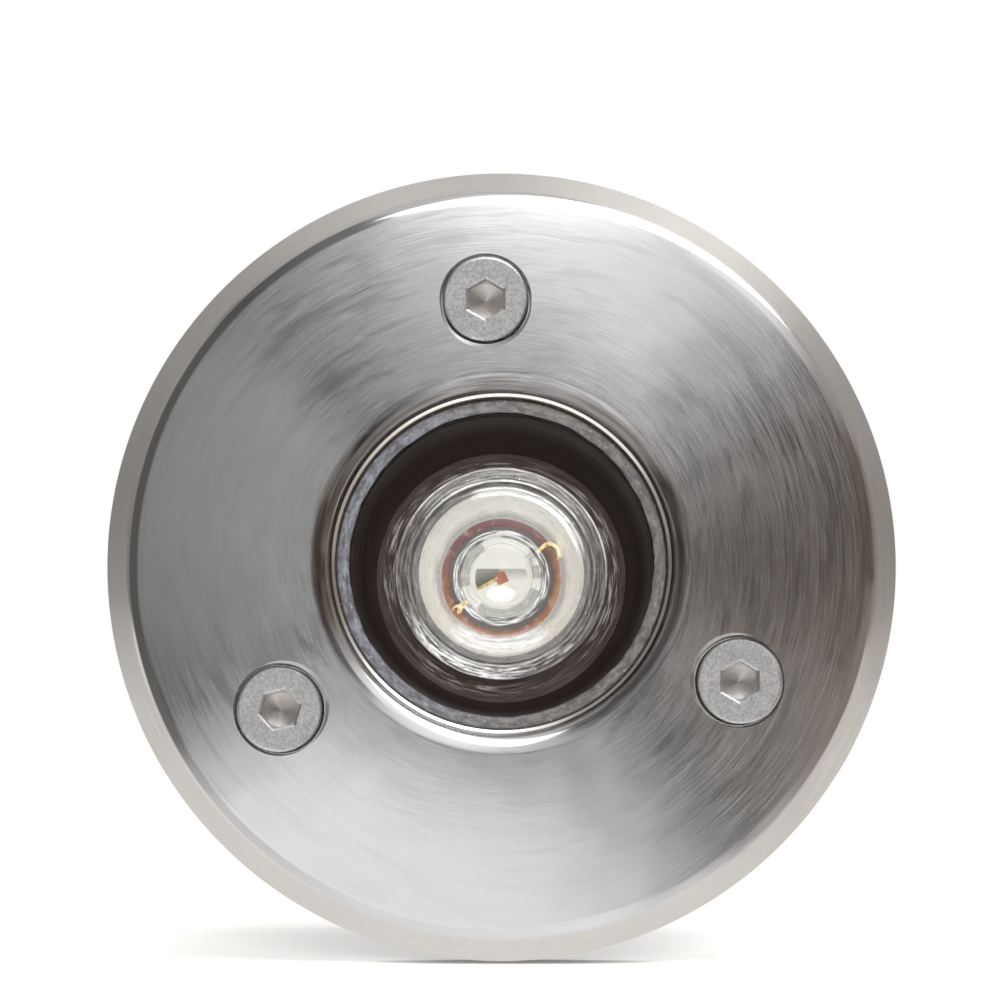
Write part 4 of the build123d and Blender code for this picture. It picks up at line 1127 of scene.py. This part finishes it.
def screw_finish():
    """Matt stainless steel, mottled from pickling, lighter as a painted highlight behind its front face: over the
    head's edge and in its socket.
    """
    finish = Finish("screw_steel_pickled")
    mottle, speck = finish.noise(800, 4, 0.65), finish.noise(3400, 2)
    # painted highlight: lighter past the head's front face, round its edge and in the socket
    inside = finish.past(finish.polar()[1], head_front + 0.2, head_front + 0.7)
    tone = finish.layered(
        finish.mix(finish.spread(mottle * 0.25 + speck * 0.75, 0.36, 0.64), (0.53, 0.52, 0.515), (0.72, 0.72, 0.715)),
        (inside * 0.8, finish.mix(mottle, (0.56, 0.51, 0.475), (0.86, 0.84, 0.82))))
    return finish.made(base_color=tone, metallic=1.0, roughness=finish.spread(mottle, 0.3, 0.7, 0.38, 0.55),
                       normal=finish.bump(mottle * 0.4 + speck * 0.6, 0.045))


# a tree that sets a mesh on the screw circle, turned about its own axis
placing = Tree("placed_on_circle", circle=0.0, angle=0.0, turn=0.0)
circle, angle = placing.given["Circle"], placing.given["Angle"]
placing.close(placing.add(
    "GeometryNodeTransform", Geometry=placing.given["Mesh"],
    Translation=placing.add("ShaderNodeCombineXYZ", X=circle * angle.math("COSINE"), Z=circle * angle.math("SINE")),
    Rotation=placing.add("ShaderNodeCombineXYZ", Y=placing.given["Turn"] * -1.0)))

screw_steel = screw_finish()
screw_whole = mended(bpy.data.meshes.new("screw_whole"), screw_mesh,
                     thread("screw_thread", head_back + thread_relief, tip - 0.45))
for (node, turn), angle, spot in zip(screw_turns.items(), screw_angles, screw_spots):
    mesh = placing.grow(node + "_machined", screw_whole, circle=screw_circle * MM, angle=math.radians(angle),
                        turn=math.radians(turn), material=screw_steel)
    shaded(mesh, screw_outwards, centre=spot)
    placed(node + "_machined", mesh, node)
smoothed(moulded("nylon_white", (0.72, 0.71, 0.66), 0.4), "screw_washers", "screw_retainers")

# Floor, light and camera: a pale floor under the rim, a large soft light above on the right and a small one in
# front, and a camera a little below the light's axis. None of this is part of the object.


def staged(name, mesh, material):
    """Links a mesh, with its material, into the scene."""
    mesh.materials.append(material)
    backing = linked(name, mesh)
    return backing


def sheet(name, left, right, front, back, level):
    mesh = bpy.data.meshes.new(name)
    mesh.from_pydata([(left, front, level), (right, front, level), (right, back, level), (left, back, level)],
                     [], [(0, 1, 2, 3)])
    return mesh


floor_level, floor_reach = -0.0451, 8
floor_colour = (0.93, 0.92, 0.905)
paint = Finish("floor")
floor = staged("floor", sheet("floor", -floor_reach, floor_reach, -floor_reach, floor_reach, floor_level), paint.made(
    base_color=paint.mix(paint.noise(8), tuple(0.97 * part for part in floor_colour), floor_colour),
    roughness=0.7, emission_color=floor_colour, emission_strength=0.55))
floor.visible_glossy = False

# the thin shade under the rim's foot, which goes with the light when it is drawn out
shade_left, shade_right, shade_front, shade_back = -0.0185, 0.0215, -0.0105, 0.0045
shade_lift = 0.00003
paint = Finish("foot_shade")
x, y, z, radius = paint.polar()
across = (x - (shade_left + shade_right) / 2) * (2 / (shade_right - shade_left))
along = (y - (shade_front + shade_back) / 2) * (2 / (shade_back - shade_front))
foot_shade = staged(
    "foot_shade", sheet("foot_shade", shade_left, shade_right, shade_front, shade_back, floor_level + shade_lift),
    paint.made(base_color=(0.05, 0.045, 0.04), roughness=0.9,
               alpha=paint.spread(across * across + along * along, 0.0, 1.0, 0.8, 0)))
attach(foot_shade, "light")
foot_shade.visible_glossy = foot_shade.visible_shadow = foot_shade.visible_diffuse = False

# a white backdrop all round, which only the camera sees
backdrop_mesh = bpy.data.meshes.new("backdrop")
dome = bmesh.new()
bmesh.ops.create_icosphere(dome, subdivisions=4, radius=7)
dome.to_mesh(backdrop_mesh)
dome.free()
paint = Finish("backdrop_white")
backdrop = staged("backdrop", backdrop_mesh, paint.finish(paint.node(
    "Emission", None, {"Color": (1, 1, 1, 1), "Strength": 1.0})))
backdrop.visible_diffuse = backdrop.visible_glossy = backdrop.visible_transmission = False
backdrop.visible_shadow = backdrop.visible_volume_scatter = False

world = bpy.data.worlds.new("studio")
bpy.context.scene.world = world
world.use_nodes = True
sky = world.node_tree
sky.nodes.clear()
direction = build(sky, "ShaderNodeTexCoord", output="Generated")
side_x, side_y, side_z = (build(sky, "ShaderNodeSeparateXYZ", None, {"Vector": direction}, axis) for axis in range(3))
azimuth = side_z.math("ARCTAN2", side_x) * (0.5 / math.pi)
azimuth = azimuth + azimuth.math("LESS_THAN", 0.0)


def room_step(towards, low, high, outer, inner):
    """The room's outer part, and its inner part where the direction is past low to high."""
    share = build(sky, "ShaderNodeMapRange", {"interpolation_type": "SMOOTHSTEP"}, {
        "Value": towards, "From Min": low, "From Max": high, "To Min": 0.0, "To Max": 1.0})
    return build(sky, "ShaderNodeMix", {"data_type": "RGBA"}, {0: share, 6: outer, 7: inner}, 2)


def room_ramp(*stops):
    """Grey levels of the room by the angle round the light's axis, in degrees from the right over the top, each
    with its warmth."""
    ramp = sky.nodes.new("ShaderNodeValToRGB")
    ramp.color_ramp.interpolation = "EASE"
    for number, (angle, level, warmth) in enumerate(stops):
        if number > 1:
            ramp.color_ramp.elements.new(angle / 360)
        ramp.color_ramp.elements[number].position = angle / 360
        ramp.color_ramp.elements[number].color = (level * (1 + warmth), level, level * (1 - warmth), 1)
    feed(azimuth, ramp.inputs[0])
    return Field(ramp.outputs[0])


# the room that the metal mirrors: grey in front on the left, dark and warm on the right, with a white table
# below that a black flag cuts off on the right
beside = room_ramp(
    (0, 0.36, 0.05), (360, 0.42, 0.05), (20, 0.5, 0.04), (80, 0.85, 0.015), (110, 0.76, 0.02), (140, 0.45, 0.04),
    (183, 0.3, 0.05), (190, 1.12, 0.02), (270, 1.12, 0.015), (345, 1.12, 0.02), (354, 0.45, 0.05))
midway = room_ramp(
    (0, 0.18, 0.2), (360, 0.2, 0.2), (20, 0.2, 0.18), (32, 0.5, 0.03), (48, 1.35, 0.0), (84, 1.4, 0.0),
    (104, 0.8, 0.0), (114, 0.25, 0.02), (130, 0.15, 0.02), (185, 0.14, 0.04), (203, 0.22, 0.04), (220, 0.9, 0.02),
    (250, 1.15, 0.0), (285, 1.25, 0.0), (300, 1.0, 0.01), (318, 0.6, 0.05), (338, 0.32, 0.14))
in_front = room_ramp(
    (0, 0.1, 0.2), (360, 0.12, 0.2), (24, 0.0, 0.09), (38, 0.03, 0.03), (56, 1.1, -0.005), (76, 1.45, -0.01),
    (98, 0.9, -0.02), (114, 0.45, -0.02), (135, 0.46, 0.0), (160, 0.42, 0.02), (184, 0.36, 0.04), (200, 0.05, 0.06),
    (210, 1.0, 0.02), (224, 1.4, 0.01), (240, 1.3, 0.0), (268, 1.3, -0.01), (288, 1.25, -0.02), (304, 0.5, 0.0),
    (322, 0.0, 0.08), (338, 0.5, 0.1), (350, 0.13, 0.2))
behind_camera = (0.06, 0.046, 0.041, 1)
forwards = side_y * -1.0
room = room_step(forwards, 0.08, 0.25, beside, midway)
room = room_step(forwards, 0.66, 0.8, room, in_front)
room = room_step(side_y * -0.9994 + side_z * 0.035, 0.9962, 0.9984, room, behind_camera)
build(sky, "ShaderNodeOutputWorld", None, {"Surface": build(sky, "ShaderNodeBackground", None, {
    "Color": room, "Strength": 1.0})})


def soft_light(name, place, width, height, power, colour):
    """A rectangular light that faces the object."""
    lamp = bpy.data.lights.new(name, "AREA")
    lamp.shape, lamp.size, lamp.size_y = "RECTANGLE", width, height
    lamp.energy, lamp.color = power, colour
    holder = linked(name, lamp)
    holder.location = place
    holder.rotation_euler = holder.location.to_track_quat("Z", "Y").to_euler()
    holder.visible_camera = False
    return holder


soft_light("key_light", (0.191, -0.251, 0.625), 0.87, 0.375, 2.1, (0.98, 0.99, 1.0))
front_fill = soft_light("front_fill", (0.02, -0.56, 0.03), 0.14, 0.14, 4.6, (1.0, 0.99, 0.975))
front_fill.visible_glossy = False

# the camera looks up at the rim's middle from a little below, and aims as far past it as the photo does
view_left, view_distance, view_drop = 0.0006, 0.4587, 0.0225
frame_pixels, focal_pixels, pixels_above, pixels_right = 1000, 4000, 64.8, 1.6
to_rim = view_distance + rim_land_front * MM
camera_data = bpy.data.cameras.new("camera")
camera_data.sensor_width = 36
camera_data.lens = 36 * focal_pixels / frame_pixels
camera = linked("camera", camera_data)
camera.location = (-view_left, -view_distance, -view_drop)
rise = math.atan2(view_drop, to_rim) + math.atan2(pixels_above, focal_pixels)
swing = math.atan2(view_left, to_rim) - math.atan2(pixels_right, focal_pixels)
camera.rotation_euler = (math.pi / 2 + rise, 0, -swing)
bpy.context.scene.camera = camera
bpy.context.scene.view_settings.view_transform = "Standard"
